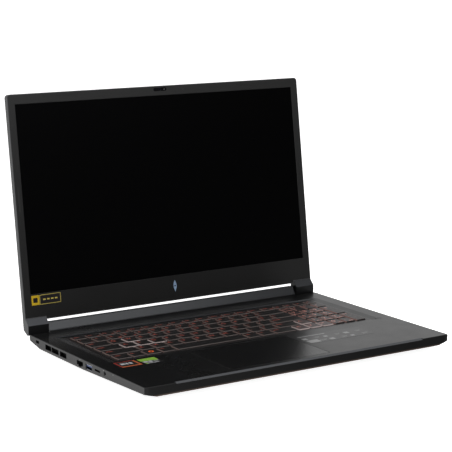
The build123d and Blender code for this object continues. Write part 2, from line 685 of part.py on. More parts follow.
DRIVE = (46.0, 126.0, 112.0, 134.0)
DRIVE_BOTTOM = BOARD_TOP + 1.4
DRIVE_SHEET = 0.8
DRIVE_CHIPS = [(62.0, 123.0), (82.0, 123.0), (104.0, 123.0)]
DRIVE_CHIP_SIZE = (13.0, 15.0)
DRIVE_CHIP_HEIGHT = 1.2
DRIVE_SOCKET = (126.0, 131.0, 111.0, 135.0)
with BuildPart() as storage_drive:
    with BuildSketch(BASE.offset(DRIVE_BOTTOM)):
        area(*DRIVE)
    extrude(amount=DRIVE_SHEET)
    with BuildSketch(BASE.offset(DRIVE_BOTTOM + DRIVE_SHEET)):
        with Locations(*DRIVE_CHIPS):
            Rectangle(*DRIVE_CHIP_SIZE)
    extrude(amount=DRIVE_CHIP_HEIGHT)
    with BuildSketch(BASE.offset(CARD_BOTTOM)):
        area(*DRIVE_SOCKET)
    extrude(amount=DRIVE_BOTTOM + DRIVE_SHEET + DRIVE_CHIP_HEIGHT - CARD_BOTTOM)
finish(storage_drive.part, "storage_drive")

RADIO_CARD = (-120.0, -90.0, 112.0, 134.0)
RADIO_SHIELD = (-116.0, -94.0, 114.0, 132.0)
RADIO_SHEET = 0.8
RADIO_HEIGHT = 1.3
with BuildPart() as wireless_card:
    with BuildSketch(BASE.offset(CARD_BOTTOM)):
        area(*RADIO_CARD)
    extrude(amount=RADIO_SHEET)
    with BuildSketch(BASE.offset(CARD_BOTTOM + RADIO_SHEET)):
        area(*RADIO_SHIELD)
    extrude(amount=RADIO_HEIGHT)
finish(wireless_card.part, "wireless_card")

SPEAKER = (132.0, 158.0, 34.0, 56.0)
SPEAKER_RADIUS = 3.0
SPEAKER_BOTTOM = INNER_FLOOR + CONTACT
SPEAKER_HEIGHT = 5.2
SPEAKER_DOME = (20.0, 12.0)
DOME_PROUD = 0.8
with BuildPart() as speakers:
    with BuildSketch(BASE.offset(SPEAKER_BOTTOM)):
        twin_areas(*SPEAKER, SPEAKER_RADIUS)
    extrude(amount=SPEAKER_HEIGHT)
    with BuildSketch(BASE.offset(SPEAKER_BOTTOM + SPEAKER_HEIGHT)):
        with Locations(*[(side * (SPEAKER[0] + SPEAKER[1]) / 2, GRILLE_DEPTH) for side in (-1, 1)]):
            SlotOverall(*SPEAKER_DOME)
    extrude(amount=DOME_PROUD)
finish(speakers.part, "speakers")

# ---------------------------------------------------------------- cooling
DIE_X = 30.0
DIE_DEPTH = 205.0
PIPE_WIDTH = 8.0
PIPE_HEIGHT = 2.2
PIPE_BOTTOM = 11.6
with BuildPart() as cold_plates:
    for side in (-1, 1):
        with BuildSketch(BASE.offset(BOARD_TOP + CONTACT)):
            with Locations((side * DIE_X * 1.5, DIE_DEPTH)):
                RectangleRounded(40.0, 40.0, 3.0)
        extrude(amount=PIPE_BOTTOM - BOARD_TOP - 2 * CONTACT)
finish(cold_plates.part, "cold_plates")

FIN_REAR = BODY_DEPTH - WALL - 0.4
FIN_FRONT = 256.6
FIN_LOW = 9.6
FIN_HIGH = 16.6
FIN_PITCH = 2.0
FIN_SHEET = 0.4
PIPE_RUNS = [(192.0, 60.0, 76.0, 260.6), (203.0, 50.0, 66.0, 269.2)]
with BuildPart() as heat_pipes:
    for side in (-1, 1):
        for start, bend, climb, end in PIPE_RUNS:
            with BuildSketch(BASE.offset(PIPE_BOTTOM)):
                with BuildLine():
                    FilletPolyline((side * 2.0, start), (side * bend, start), (side * climb, end),
                                   (side * 142.0, end), radius=9.0)
                trace(line_width=PIPE_WIDTH - 0.6)
            extrude(amount=PIPE_HEIGHT)
finish(heat_pipes.part, "heat_pipes")

with BuildPart() as rear_fin_stacks:
    for side in (-1, 1):
        low, high = sorted((side * EXHAUST_INNER, side * EXHAUST_OUTER))
        with BuildSketch(BASE.offset(FIN_LOW)):
            area(low, high, FIN_FRONT, FIN_REAR)
        extrude(amount=FIN_SHEET)
        with BuildSketch(BASE.offset(FIN_HIGH - FIN_SHEET)):
            area(low, high, FIN_FRONT, FIN_REAR)
        extrude(amount=FIN_SHEET)
        with BuildSketch(BASE.offset(FIN_LOW + FIN_SHEET)):
            with Locations(((low + high) / 2, (FIN_FRONT + FIN_REAR) / 2)):
                with GridLocations(FIN_PITCH, 0, int((high - low) / FIN_PITCH), 1):
                    Rectangle(FIN_SHEET, FIN_REAR - FIN_FRONT)
        extrude(amount=FIN_HIGH - FIN_LOW - 2 * FIN_SHEET)
    with BuildSketch(SIDE.offset(-WIDTH / 2)):
        for _, _, _, depth in PIPE_RUNS:
            with Locations((depth, PIPE_BOTTOM + PIPE_HEIGHT / 2)):
                Rectangle(PIPE_WIDTH - 0.6 + 2 * TINY, PIPE_HEIGHT + 2 * TINY)
    extrude(amount=WIDTH, mode=Mode.SUBTRACT)
finish(rear_fin_stacks.part, "rear_fin_stacks")

SIDE_FIN_IN = 189.0
SIDE_FIN_OUT = 196.8
with BuildPart() as side_fin_stacks:
    for side in (-1, 1):
        low, high = sorted((side * SIDE_FIN_IN, side * SIDE_FIN_OUT))
        with BuildSketch(BASE.offset(FIN_HIGH - FIN_SHEET)):
            area(low, high, 164.5, 214.5)
        extrude(amount=FIN_SHEET)
        with BuildSketch(BASE.offset(FIN_LOW + 1)):
            with Locations(((low + high) / 2, 189.5)):
                with GridLocations(0, FIN_PITCH, 1, 25):
                    Rectangle(high - low, FIN_SHEET)
        extrude(amount=FIN_HIGH - FIN_LOW - 1 - FIN_SHEET)
finish(side_fin_stacks.part, "side_fin_stacks")

# Each fan is a flat case with a round chamber, an air intake below and an outlet to the rear.
CASE_HALF = 41.5
CASE_LOW = 4.6
CASE_HIGH = 12.4
CASE_SHEET = 0.6
CHAMBER_RADIUS = 37.0
PIN_RADIUS = 1.2
PIN_CLEARANCE = 0.05
with BuildPart() as fan_housings:
    for side in (-1, 1):
        with BuildSketch(BASE.offset(CASE_LOW)):
            with Locations((side * FAN_X, FAN_DEPTH)):
                RectangleRounded(2 * CASE_HALF, 2 * CASE_HALF, 12.0)
        extrude(amount=CASE_HIGH - CASE_LOW)
        with BuildSketch(BASE.offset(CASE_LOW + CASE_SHEET)):
            with Locations((side * FAN_X, FAN_DEPTH)):
                Circle(CHAMBER_RADIUS)
            with Locations((side * FAN_X, FAN_DEPTH + CASE_HALF / 2)):
                Rectangle(56.0, CASE_HALF + 2)
        extrude(amount=CASE_HIGH - CASE_LOW - 2 * CASE_SHEET, mode=Mode.SUBTRACT)
        with BuildSketch(BASE.offset(CASE_LOW)):
            with Locations((side * FAN_X, FAN_DEPTH)):
                Circle(25.0)
        extrude(amount=CASE_SHEET, mode=Mode.SUBTRACT)
        with BuildSketch(BASE.offset(CASE_LOW + 2.0)):
            with Locations((side * FAN_X, FAN_DEPTH)):
                Circle(PIN_RADIUS)
        extrude(amount=CASE_HIGH - CASE_LOW - 2.0 - CASE_SHEET / 2)
finish(fan_housings.part, "fan_housings")

HUB_RADIUS = 10.0
HUB_LOW = 5.8
HUB_HIGH = 11.3
BLADE_COUNT = 37
for side, name in ((-1, "fan_rotor_left"), (1, "fan_rotor_right")):
    with BuildPart() as rotor:
        with BuildSketch(BASE.offset(HUB_LOW)):
            with Locations((side * FAN_X, FAN_DEPTH)):
                Circle(HUB_RADIUS)
        extrude(amount=HUB_HIGH - HUB_LOW)
        with BuildSketch(BASE.offset(HUB_LOW + 0.3)):
            with Locations((side * FAN_X, FAN_DEPTH)):
                with PolarLocations(HUB_RADIUS - 1.0, BLADE_COUNT):
                    Rectangle(25.0, 0.7, rotation=18, align=(Align.MIN, Align.CENTER))
        extrude(amount=HUB_HIGH - HUB_LOW - 0.6)
        with BuildSketch(BASE.offset(HUB_LOW + 0.5)):
            with Locations((side * FAN_X, FAN_DEPTH)):
                Circle(PIN_RADIUS + PIN_CLEARANCE)
        extrude(amount=HUB_HIGH, mode=Mode.SUBTRACT)
    finish(rotor.part, name)

# ---------------------------------------------------------------- sockets
BLOCK_DEPTH = 16.0
FACE_OUT = WIDTH / 2 - 0.6
INNER_FACE = WIDTH / 2 - WALL - CONTACT


def usb_socket(side, depth, height):
    """A metal sleeve in the side wall with a tongue in the upper half of its mouth."""
    start = SIDE.offset(-FACE_OUT) if side < 0 else SIDE.offset(FACE_OUT - BLOCK_DEPTH)
    mouth = start if side < 0 else start.offset(1.6)
    with BuildPart() as socket:
        with BuildSketch(start):
            with Locations((depth, height)):
                RectangleRounded(13.4, 5.7, 0.5)
        extrude(amount=BLOCK_DEPTH)
        with BuildSketch(mouth):
            with Locations((depth, height)):
                Rectangle(12.5, 5.0)
        extrude(amount=BLOCK_DEPTH - 1.6, mode=Mode.SUBTRACT)
        with BuildSketch(mouth.offset(0.8) if side < 0 else start.offset(0.8)):
            with Locations((depth, height + 1.2)):
                Rectangle(11.1, 1.5)
        extrude(amount=BLOCK_DEPTH - 1.6)
    return socket.part


with BuildPart() as usb_port_left:
    add(usb_socket(-1, *USB_LEFT[:2]))
finish(usb_port_left.part, "usb_port_left")

with BuildPart() as usb_ports_right:
    for depth, height, _, _ in USB_RIGHT:
        add(usb_socket(1, depth, height))
finish(usb_ports_right.part, "usb_ports_right")

NETWORK_LENGTH = 15.6
NETWORK_CAVITY = 13.2
with BuildPart() as network_jack:
    with BuildSketch(SIDE.offset(-INNER_FACE)):
        area(NETWORK[0] - 7.7, NETWORK[0] + 7.7, BOARD_TOP + CONTACT, DECK_TOP - DECK_THICKNESS - CONTACT)
    extrude(amount=NETWORK_LENGTH)
    with BuildSketch(SIDE.offset(-INNER_FACE)):
        area(NETWORK[0] - 6.2, NETWORK[0] + 6.2, 11.0, 15.8)
        area(NETWORK[0] - 3.1, NETWORK[0] + 3.1, 9.9, 11.5)
    extrude(amount=NETWORK_CAVITY, mode=Mode.SUBTRACT)
    with BuildSketch(SIDE.offset(-INNER_FACE + NETWORK_CAVITY - 6.0)):
        with Locations((NETWORK[0], 15.65)):
            with GridLocations(1.02, 0, 8, 1):
                Rectangle(0.4, 0.3)
    extrude(amount=6.0)
finish(network_jack.part, "network_jack")

with BuildPart() as card_slot:
    with BuildSketch(SIDE.offset(-INNER_FACE)):
        area(CARD[0] - 7.0, CARD[0] + 7.0, 12.2, 15.8)
    extrude(amount=13.0)
    with BuildSketch(SIDE.offset(-INNER_FACE)):
        with Locations((CARD[0], CARD[1])):
            RectangleRounded(10.6, 1.5, 0.5)
    extrude(amount=11.5, mode=Mode.SUBTRACT)
finish(card_slot.part, "card_slot")

AUDIO_LENGTH = 14.0
AUDIO_FACE = WIDTH / 2 - 0.2
with BuildPart() as audio_jack:
    with BuildSketch(SIDE.offset(-INNER_FACE)):
        area(AUDIO_DEPTH - 3.4, AUDIO_DEPTH + 3.4, 10.8, DECK_TOP - DECK_THICKNESS - CONTACT)
    extrude(amount=AUDIO_LENGTH - 1.0)
    with BuildSketch(SIDE.offset(-AUDIO_FACE)):
        with Locations((AUDIO_DEPTH, AUDIO_Z)):
            Circle(AUDIO_NOSE - CONTACT)
    extrude(amount=AUDIO_FACE - INNER_FACE)
    with BuildSketch(SIDE.offset(-AUDIO_FACE)):
        with Locations((AUDIO_DEPTH, AUDIO_Z)):
            Circle(AUDIO_RADIUS)
    extrude(amount=AUDIO_LENGTH, mode=Mode.SUBTRACT)
finish(audio_jack.part, "audio_jack")

with BuildPart() as lock_plate:
    with BuildSketch(SIDE.offset(-INNER_FACE)):
        area(LOCK[0] - 6.5, LOCK[0] + 6.5, 12.4, DECK_TOP - DECK_THICKNESS - CONTACT)
        with Locations((LOCK[0], LOCK[1])):
            RectangleRounded(7.0, 2.8, 0.6, mode=Mode.SUBTRACT)
    extrude(amount=1.2)
finish(lock_plate.part, "lock_plate")

with BuildPart() as status_lights:
    with BuildSketch(SIDE.offset(INNER_FACE - 3.0)):
        for depth, height, length, tall in LIGHTS:
            with Locations((depth, height)):
                Rectangle(length - 2 * CONTACT, tall - 2 * CONTACT)
    extrude(amount=WIDTH / 2 - INNER_FACE + 2.9)
finish(status_lights.part, "status_lights")

# Rear sockets run from just inside the rear face towards the front.
REAR_FACE = BODY_DEPTH - 0.4
REAR_PLANE = Plane.XZ.offset(-(FRONT_Y + REAR_FACE))
REAR_LENGTH = 12.0
with BuildPart() as video_port:
    with BuildSketch(REAR_PLANE):
        with Locations((VIDEO[0], VIDEO[1])):
            RectangleRounded(VIDEO[2] - 0.3, VIDEO[3] - 0.3, 1.8)
    extrude(amount=REAR_LENGTH)
    with BuildSketch(REAR_PLANE):
        with Locations((VIDEO[0], VIDEO[1])):
            RectangleRounded(VIDEO[2] - 1.2, VIDEO[3] - 1.2, 1.4)
    extrude(amount=REAR_LENGTH - 1.5, mode=Mode.SUBTRACT)
    with BuildSketch(REAR_PLANE.offset(1.5)):
        with Locations((VIDEO[0], VIDEO[1])):
            Rectangle(VIDEO[2] - 4.0, 1.0)
    extrude(amount=REAR_LENGTH - 2.0)
finish(video_port.part, "video_port")

with BuildPart() as usb_c_port:
    with BuildSketch(REAR_PLANE):
        with Locations((USB_C[0], USB_C[1])):
            SlotOverall(USB_C[2] - 0.3, USB_C[3] - 0.3)
    extrude(amount=REAR_LENGTH)
    with BuildSketch(REAR_PLANE):
        with Locations((USB_C[0], USB_C[1])):
            SlotOverall(USB_C[2] - 0.9, USB_C[3] - 0.9)
    extrude(amount=REAR_LENGTH - 1.5, mode=Mode.SUBTRACT)
    with BuildSketch(REAR_PLANE.offset(1.2)):
        with Locations((USB_C[0], USB_C[1])):
            Rectangle(6.4, 0.7)
    extrude(amount=REAR_LENGTH - 2.0)
finish(usb_c_port.part, "usb_c_port")

INLET_RADIUS = 2.6
with BuildPart() as power_inlet:
    with BuildSketch(REAR_PLANE):
        with Locations((POWER_X, POWER_Z)):
            Circle(POWER_RADIUS - CONTACT)
    extrude(amount=REAR_LENGTH)
    with BuildSketch(REAR_PLANE):
        with Locations((POWER_X, POWER_Z)):
            Circle(INLET_RADIUS)
    extrude(amount=REAR_LENGTH - 1.5, mode=Mode.SUBTRACT)
    with BuildSketch(REAR_PLANE.offset(2.0)):
        with Locations((POWER_X, POWER_Z)):
            Circle(0.6)
    extrude(amount=REAR_LENGTH - 3.0)
finish(power_inlet.part, "power_inlet")

# ---------------------------------------------------------------- hinge mounts in the base
BUSH_IN = 150.5
BUSH_OUT = 168.5
with BuildPart() as hinge_mounts:
    for start in (-BUSH_OUT, BUSH_IN):
        with BuildSketch(SIDE.offset(start)):
            with Locations((HINGE_DEPTH, HINGE_Z)):
                Circle(3.0)
            area(HINGE_DEPTH - 2.5, HINGE_DEPTH + 2.5, BOARD_TOP, HINGE_Z)
            area(256.8, 270.5, BOARD_TOP - 1.1, BOARD_TOP + 0.9)
        extrude(amount=BUSH_OUT - BUSH_IN)
        with BuildSketch(SIDE.offset(start)):
            with Locations((HINGE_DEPTH, HINGE_Z)):
                Circle(SHAFT_RADIUS + SHAFT_CLEARANCE)
        extrude(amount=BUSH_OUT - BUSH_IN, mode=Mode.SUBTRACT)
finish(hinge_mounts.part, "hinge_mounts")

# ---------------------------------------------------------------- lid shells
LID_AXIS = Axis(LID_ORIGIN, LID.z_dir)
CORNER = 4.0
RECESS = 0.8
CAVITY_INSET = 1.5
STRAP_LOW = 179.0
STRAP_HIGH = 190.0
with BuildPart() as lid_back_cover:
    with BuildSketch(LID.offset(-LID_THICKNESS)) as outline:
        lid_outline()
        fillet(outline.vertices().group_by(Axis.Y)[-1], CORNER)
    extrude(amount=LID_THICKNESS)
    fillet(lid_back_cover.faces().sort_by(LID_AXIS)[0].edges(), 1.6)
    chamfer(lid_back_cover.faces().sort_by(LID_AXIS)[-1].edges(), 0.3)
    with BuildSketch(LID.offset(-BEZEL)) as recess:
        lid_outline(RECESS)
        fillet(recess.vertices().group_by(Axis.Y)[-1], CORNER - RECESS)
    extrude(amount=BEZEL + 1, mode=Mode.SUBTRACT)
    with BuildSketch(LID.offset(-LID_THICKNESS + LID_WALL)) as cavity:
        lid_outline(CAVITY_INSET)
        fillet(cavity.vertices().group_by(Axis.Y)[-1], CORNER - CAVITY_INSET)
    extrude(amount=LID_THICKNESS - LID_WALL, mode=Mode.SUBTRACT)
    # Passages for the hinge straps into the arms.
    with BuildSketch(LID.offset(-LID_THICKNESS + LID_WALL - 0.2)):
        for side in (-1, 1):
            area(*sorted((side * (STRAP_LOW - 1), side * (STRAP_HIGH + 1))),
                 LID_SHOULDER - 1, LID_SHOULDER + 3)
    extrude(amount=1.8, mode=Mode.SUBTRACT)
finish(lid_back_cover.part, "lid_back_cover")

CAMERA_V = 222.0
LIGHT_X = 32.4
with BuildPart() as screen_bezel:
    with BuildSketch(LID.offset(-BEZEL)) as face:
        lid_outline(RECESS + CONTACT)
        fillet(face.vertices().group_by(Axis.Y)[-1], CORNER - RECESS)
        area(-ACTIVE_WIDTH / 2, ACTIVE_WIDTH / 2, 0, ACTIVE_HEIGHT)
    extrude(amount=BEZEL)
    with BuildSketch(LID.offset(-BEZEL)):
        area(-ACTIVE_WIDTH / 2, ACTIVE_WIDTH / 2, 0, ACTIVE_HEIGHT)
        with Locations((0, CAMERA_V)):
            Circle(1.6)
        with Locations((LIGHT_X, CAMERA_V - 1)):
            Circle(0.55)
    extrude(amount=BEZEL, mode=Mode.SUBTRACT)
    window = screen_bezel.faces().sort_by(LID_AXIS)[-1].inner_wires().sort_by(SortBy.LENGTH)[-1]
    chamfer(window.edges(), 0.4)
finish(screen_bezel.part, "screen_bezel")

PANEL_MARGIN = 2.0
finish(block(LID, -ACTIVE_WIDTH / 2 - PANEL_MARGIN, ACTIVE_WIDTH / 2 + PANEL_MARGIN,
             -3.5, ACTIVE_HEIGHT + PANEL_MARGIN, -4.4, -BEZEL - 0.05), "display_panel")
finish(block(LID, -ACTIVE_WIDTH / 2 - 3.0, ACTIVE_WIDTH / 2 + 3.0,
             -5.5, ACTIVE_HEIGHT + 2.6, -4.75, -4.45), "panel_tray")

with BuildPart() as camera_module:
    with BuildSketch(LID.offset(-3.4)):
        area(-32.0, 46.0, 218.4, 224.2)
    extrude(amount=0.8)
    with BuildSketch(LID.offset(-2.6)):
        with Locations((0, CAMERA_V)):
            Circle(2.2)
        with Locations((LIGHT_X, CAMERA_V - 1)):
            Circle(0.45)
    extrude(amount=1.6)
    with BuildSketch(LID.offset(-1.0)):
        with Locations((LIGHT_X, CAMERA_V - 1)):
            Circle(0.45)
    extrude(amount=0.9)
finish(camera_module.part, "camera_module")

with BuildPart() as camera_lens:
    with BuildSketch(LID.offset(-BEZEL)):
        with Locations((0, CAMERA_V)):
            Circle(1.5)
    extrude(amount=BEZEL - 0.2)
    chamfer(camera_lens.faces().sort_by(LID_AXIS)[-1].edges(), 0.25)
finish(camera_lens.part, "camera_lens")

BUMPER_HEIGHT = 0.4
BUMPER_WIDTH = 2.4
with BuildPart() as bezel_bumpers:
    with BuildSketch(LID):
        for side in (-1, 1):
            with Locations((side * 132.5, 222.8)):
                SlotOverall(47.0, BUMPER_WIDTH)
            with Locations((side * 195.8, 107.5)):
                SlotOverall(29.0, BUMPER_WIDTH, rotation=90)
    extrude(amount=BUMPER_HEIGHT)
    chamfer(bezel_bumpers.faces().group_by(LID_AXIS)[-1].edges(), 0.15)
finish(bezel_bumpers.part, "bezel_bumpers")

with BuildPart() as bezel_emblem:
    with BuildSketch(LID):
        shape([(0.0, -19.5), (2.1, -14.5), (2.1, -10.5), (0.0, -5.6), (-2.1, -10.5), (-2.1, -14.5)])
        with Locations((0, -12.5)):
            Circle(1.0, mode=Mode.SUBTRACT)
    extrude(amount=0.15)
finish(bezel_emblem.part, "bezel_emblem")

finish(block(LID, -191.0, -153.0, -13.0, -1.4, 0.0, 0.12, 0.6), "bezel_sticker")

with BuildPart() as display_cable:
    with BuildSketch(LID.offset(-4.3)):
        with BuildLine():
            FilletPolyline((-40.0, -7.5), (-40.0, -18.0), (-150.0, -18.0), (-172.0, -20.0), radius=4.0)
        trace(line_width=6.0)
    extrude(amount=0.4)
finish(display_cable.part, "display_cable")

with BuildPart() as wireless_antennas:
    with BuildSketch(LID.offset(-3.6)):
        for side in (-1, 1):
            area(*sorted((side * 62.0, side * 98.0)), 218.6, 224.0)
    extrude(amount=0.8)
finish(wireless_antennas.part, "wireless_antennas")

# ---------------------------------------------------------------- hinge arms and lid hinges
ARM_PROFILE = [(0.0, LID_SHOULDER), (5.6, -34.8), (4.3, -45.5), (1.0, -45.5),
               (-LID_THICKNESS, -40.0), (-LID_THICKNESS, LID_SHOULDER)]
ARM_WALL = 0.9
ARM_LENGTH = ARM_OUTER - ARM_INNER
SHAFT_SPOT = (HINGE_N, HINGE_V)
STRAP_TOP = 60.0
STRAP_BACK = -LID_THICKNESS + LID_WALL + 0.05
for side, ending in ((-1, "left"), (1, "right")):
    start = LID_SIDE.offset(ARM_INNER if side < 0 else -ARM_OUTER)
    with BuildPart() as arm:
        with BuildSketch(start):
            shape(ARM_PROFILE)
        extrude(amount=ARM_LENGTH)
        fillet(arm.edges().filter_by(Axis.X).group_by(Axis.Z)[0], 1.2)
        chamfer(arm.edges().filter_by(Axis.X).sort_by(Axis.Y)[0], 0.5)
        with BuildSketch(start.offset(ARM_WALL)):
            shape(ARM_PROFILE)
            offset(amount=-ARM_WALL, kind=Kind.INTERSECTION, mode=Mode.REPLACE)
            area(-LID_THICKNESS + ARM_WALL, -1.2, LID_SHOULDER - 2, LID_SHOULDER + 1)
        extrude(amount=ARM_LENGTH - 2 * ARM_WALL, mode=Mode.SUBTRACT)
        with BuildSketch(start.offset(ARM_LENGTH / 2 if side > 0 else -1)):
            with Locations(SHAFT_SPOT):
                Circle(SHAFT_RADIUS + CONTACT)
        extrude(amount=ARM_LENGTH / 2 + 1, mode=Mode.SUBTRACT)
    finish(arm.part, f"hinge_arm_{ending}")

    low, high = sorted((side * BUSH_IN, side * STRAP_HIGH))
    with BuildPart() as hinge:
        with BuildSketch(LID_SIDE.offset(-high)):
            with Locations(SHAFT_SPOT):
                Circle(SHAFT_RADIUS)
        extrude(amount=high - low)
        low, high = sorted((side * STRAP_LOW, side * STRAP_HIGH))
        with BuildSketch(LID.offset(STRAP_BACK)):
            area(low, high, HINGE_V - 1.0, STRAP_TOP)
        extrude(amount=0.9)
    finish(hinge.part, f"lid_hinge_{ending}")

# ---------------------------------------------------------------- stickers on the palm rest
with BuildPart() as palm_stickers:
    with BuildSketch(BASE.offset(DECK_TOP)):
        area(-181.0, -155.5, 77.0, 98.0, 0.8)
        area(-153.0, -131.0, 75.0, 96.5, 0.8)
        area(44.0, 134.0, 50.0, 84.0, 1.0)
    extrude(amount=0.08)
finish(palm_stickers.part, "palm_stickers")
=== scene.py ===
"""A large notebook computer, open on a pale table: materials, printing and light around its CAD parts."""
import json
import math

import bmesh
import bpy
from mathutils import Matrix, Vector


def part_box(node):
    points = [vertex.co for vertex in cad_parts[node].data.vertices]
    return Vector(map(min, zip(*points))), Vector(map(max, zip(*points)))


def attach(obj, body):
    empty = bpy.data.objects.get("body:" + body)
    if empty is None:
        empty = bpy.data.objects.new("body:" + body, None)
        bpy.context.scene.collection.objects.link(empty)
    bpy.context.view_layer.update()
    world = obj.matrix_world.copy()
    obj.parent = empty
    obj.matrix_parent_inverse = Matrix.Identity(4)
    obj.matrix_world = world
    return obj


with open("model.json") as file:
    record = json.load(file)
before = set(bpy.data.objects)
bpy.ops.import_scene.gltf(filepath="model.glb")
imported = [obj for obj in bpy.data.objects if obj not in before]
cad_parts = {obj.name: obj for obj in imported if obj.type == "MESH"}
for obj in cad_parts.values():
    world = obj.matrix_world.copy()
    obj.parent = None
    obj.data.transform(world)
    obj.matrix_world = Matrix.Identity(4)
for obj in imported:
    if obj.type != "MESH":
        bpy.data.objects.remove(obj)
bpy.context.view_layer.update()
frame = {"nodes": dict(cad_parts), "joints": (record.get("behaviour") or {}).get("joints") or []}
NODES = frame["nodes"]

MM = 0.001
FILM = 0.02 * MM

# ---------------------------------------------------------------- where things are
DECK_LOW, DECK_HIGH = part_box("deck")
DECK_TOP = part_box("palm_stickers")[0].z
FRONT = DECK_LOW.y
HALF_WIDTH = DECK_HIGH.x
WELL_REAR = FRONT + 215 * MM
LID_JOINT = next(joint for joint in frame["joints"] if joint["name"] == "lid_hinge")
HINGE = Vector(LID_JOINT["pos_m"])
LEAN = math.radians(8.25)
LID_RIGHT = Vector((1, 0, 0))
LID_UP = Vector((0, math.sin(LEAN), math.cos(LEAN)))
LID_OUT = Vector((0, -math.cos(LEAN), math.sin(LEAN)))
HINGE_V = -37.5 * MM
HINGE_N = -4.2 * MM
LID_ORIGIN = HINGE - LID_UP * HINGE_V - LID_OUT * HINGE_N
LID_FRAME = Matrix((
    (LID_RIGHT.x, LID_UP.x, LID_OUT.x, LID_ORIGIN.x),
    (LID_RIGHT.y, LID_UP.y, LID_OUT.y, LID_ORIGIN.y),
    (LID_RIGHT.z, LID_UP.z, LID_OUT.z, LID_ORIGIN.z),
    (0, 0, 0, 1),
))
DECK_FRAME = Matrix.Translation((0, FRONT, DECK_TOP))

# ---------------------------------------------------------------- camera
CAMERA_AZIMUTH = math.radians(-33.79)
CAMERA_ELEVATION = math.radians(10.61)
CAMERA_ROLL = math.radians(0.3)
CAMERA_DISTANCE = 1.808
CAMERA_TARGET = Vector((-0.010, FRONT + 0.140, 0.1425))
CAMERA_LENS = 128.77


def make_camera():
    """The photograph's point of view."""
    data = bpy.data.cameras.new("camera")
    data.lens = CAMERA_LENS
    data.sensor_width = 36.0
    camera = bpy.data.objects.new("camera", data)
    bpy.context.scene.collection.objects.link(camera)
    back = Vector((math.sin(CAMERA_AZIMUTH) * math.cos(CAMERA_ELEVATION),
                   -math.cos(CAMERA_AZIMUTH) * math.cos(CAMERA_ELEVATION),
                   math.sin(CAMERA_ELEVATION)))
    turn = (-back).to_track_quat("-Z", "Y").to_matrix().to_4x4()
    camera.matrix_world = (Matrix.Translation(CAMERA_TARGET + back * CAMERA_DISTANCE)
                           @ turn @ Matrix.Rotation(CAMERA_ROLL, 4, "Z"))
    bpy.context.scene.camera = camera


# ---------------------------------------------------------------- material tools
class Shader:
    """A node material under construction, with short calls for the nodes used here."""

    def __init__(self, name):
        self.material = bpy.data.materials.new(name)
        self.material.use_nodes = True
        self.tree = self.material.node_tree
        self.principled = self.tree.nodes["Principled BSDF"]
        self.coords = self.tree.nodes.new("ShaderNodeTexCoord")

    def set(self, **values):
        """Set sockets of the main shader; a key's underscores stand for spaces."""
        for key, value in values.items():
            self.principled.inputs[key.replace("_", " ")].default_value = value
        return self

    def link(self, source, target):
        """Join an output to an input."""
        self.tree.links.new(source, target)

    def to(self, source, key):
        """Join an output to a socket of the main shader."""
        self.link(source, self.principled.inputs[key])

    def noise(self, scale, detail=2.0, roughness=0.5, stretch=None):
        """Noise in the object's own metres; stretch scales each axis."""
        node = self.tree.nodes.new("ShaderNodeTexNoise")
        node.inputs["Scale"].default_value = scale
        node.inputs["Detail"].default_value = detail
        node.inputs["Roughness"].default_value = roughness
        source = self.coords.outputs["Object"]
        if stretch:
            mapping = self.tree.nodes.new("ShaderNodeMapping")
            mapping.inputs["Scale"].default_value = stretch
            self.link(source, mapping.inputs["Vector"])
            source = mapping.outputs["Vector"]
        self.link(source, node.inputs["Vector"])
        return node.outputs["Fac"]

    def ramp(self, source, low, high, start, end):
        """Map a value from start..end to low..high."""
        node = self.tree.nodes.new("ShaderNodeMapRange")
        node.inputs["From Min"].default_value = start
        node.inputs["From Max"].default_value = end
        node.inputs["To Min"].default_value = low
        node.inputs["To Max"].default_value = high
        self.link(source, node.inputs["Value"])
        return node.outputs["Result"]

    def mix(self, factor, first, second):
        """Mix two colours by a factor; each may be a colour or an output."""
        node = self.tree.nodes.new("ShaderNodeMix")
        node.data_type = "RGBA"
        self.link(factor, node.inputs["Factor"])
        for value, key in ((first, "A"), (second, "B")):
            socket = next(s for s in node.inputs if s.name == key and s.type == "RGBA")
            if hasattr(value, "is_linked"):
                self.link(value, socket)
            else:
                socket.default_value = (*value, 1.0)
        return next(s for s in node.outputs if s.type == "RGBA")

    def maths(self, operation, first, second=None):
        """One arithmetic step; each value may be a number or an output."""
        node = self.tree.nodes.new("ShaderNodeMath")
        node.operation = operation
        for index, value in enumerate((first, second)):
            if value is None:
                continue
            if hasattr(value, "is_linked"):
                self.link(value, node.inputs[index])
            else:
                node.inputs[index].default_value = value
        return node.outputs[0]

    def along(self, direction, kind="Object"):
        """How far a point or normal reaches along a direction, in the object's own space."""
        node = self.tree.nodes.new("ShaderNodeVectorMath")
        node.operation = "DOT_PRODUCT"
        node.inputs[1].default_value = direction
        self.link(self.coords.outputs[kind], node.inputs[0])
        return node.outputs["Value"]

    def bump(self, source, distance, strength=1.0):
        """Raise the surface by a value, over a distance in metres."""
        node = self.tree.nodes.new("ShaderNodeBump")
        node.inputs["Distance"].default_value = distance
        node.inputs["Strength"].default_value = strength
        self.link(source, node.inputs["Height"])
        self.to(node.outputs["Normal"], "Normal")


def moulded(name, colour, roughness, grain=3200.0, depth=0.00003, specular=0.5, spread=0.12, smear=0.015):
    """Moulded plastic: fine grain, faint colour drift and slightly uneven gloss."""
    shader = Shader(name)
    drift = shader.noise(14.0, 3.0)
    darker = tuple(value * (1 - spread) for value in colour)
    lighter = tuple(value * (1 + spread) for value in colour)
    shader.to(shader.mix(drift, darker, lighter), "Base Color")
    smudge = shader.noise(45.0, 4.0, 0.6)
    shader.gloss = shader.ramp(smudge, roughness - smear, roughness + smear, 0.35, 0.65)
    shader.to(shader.gloss, "Roughness")
    shader.set(Specular_IOR_Level=specular)
    shader.bump(shader.noise(grain, 2.0), depth, 0.6)
    return shader


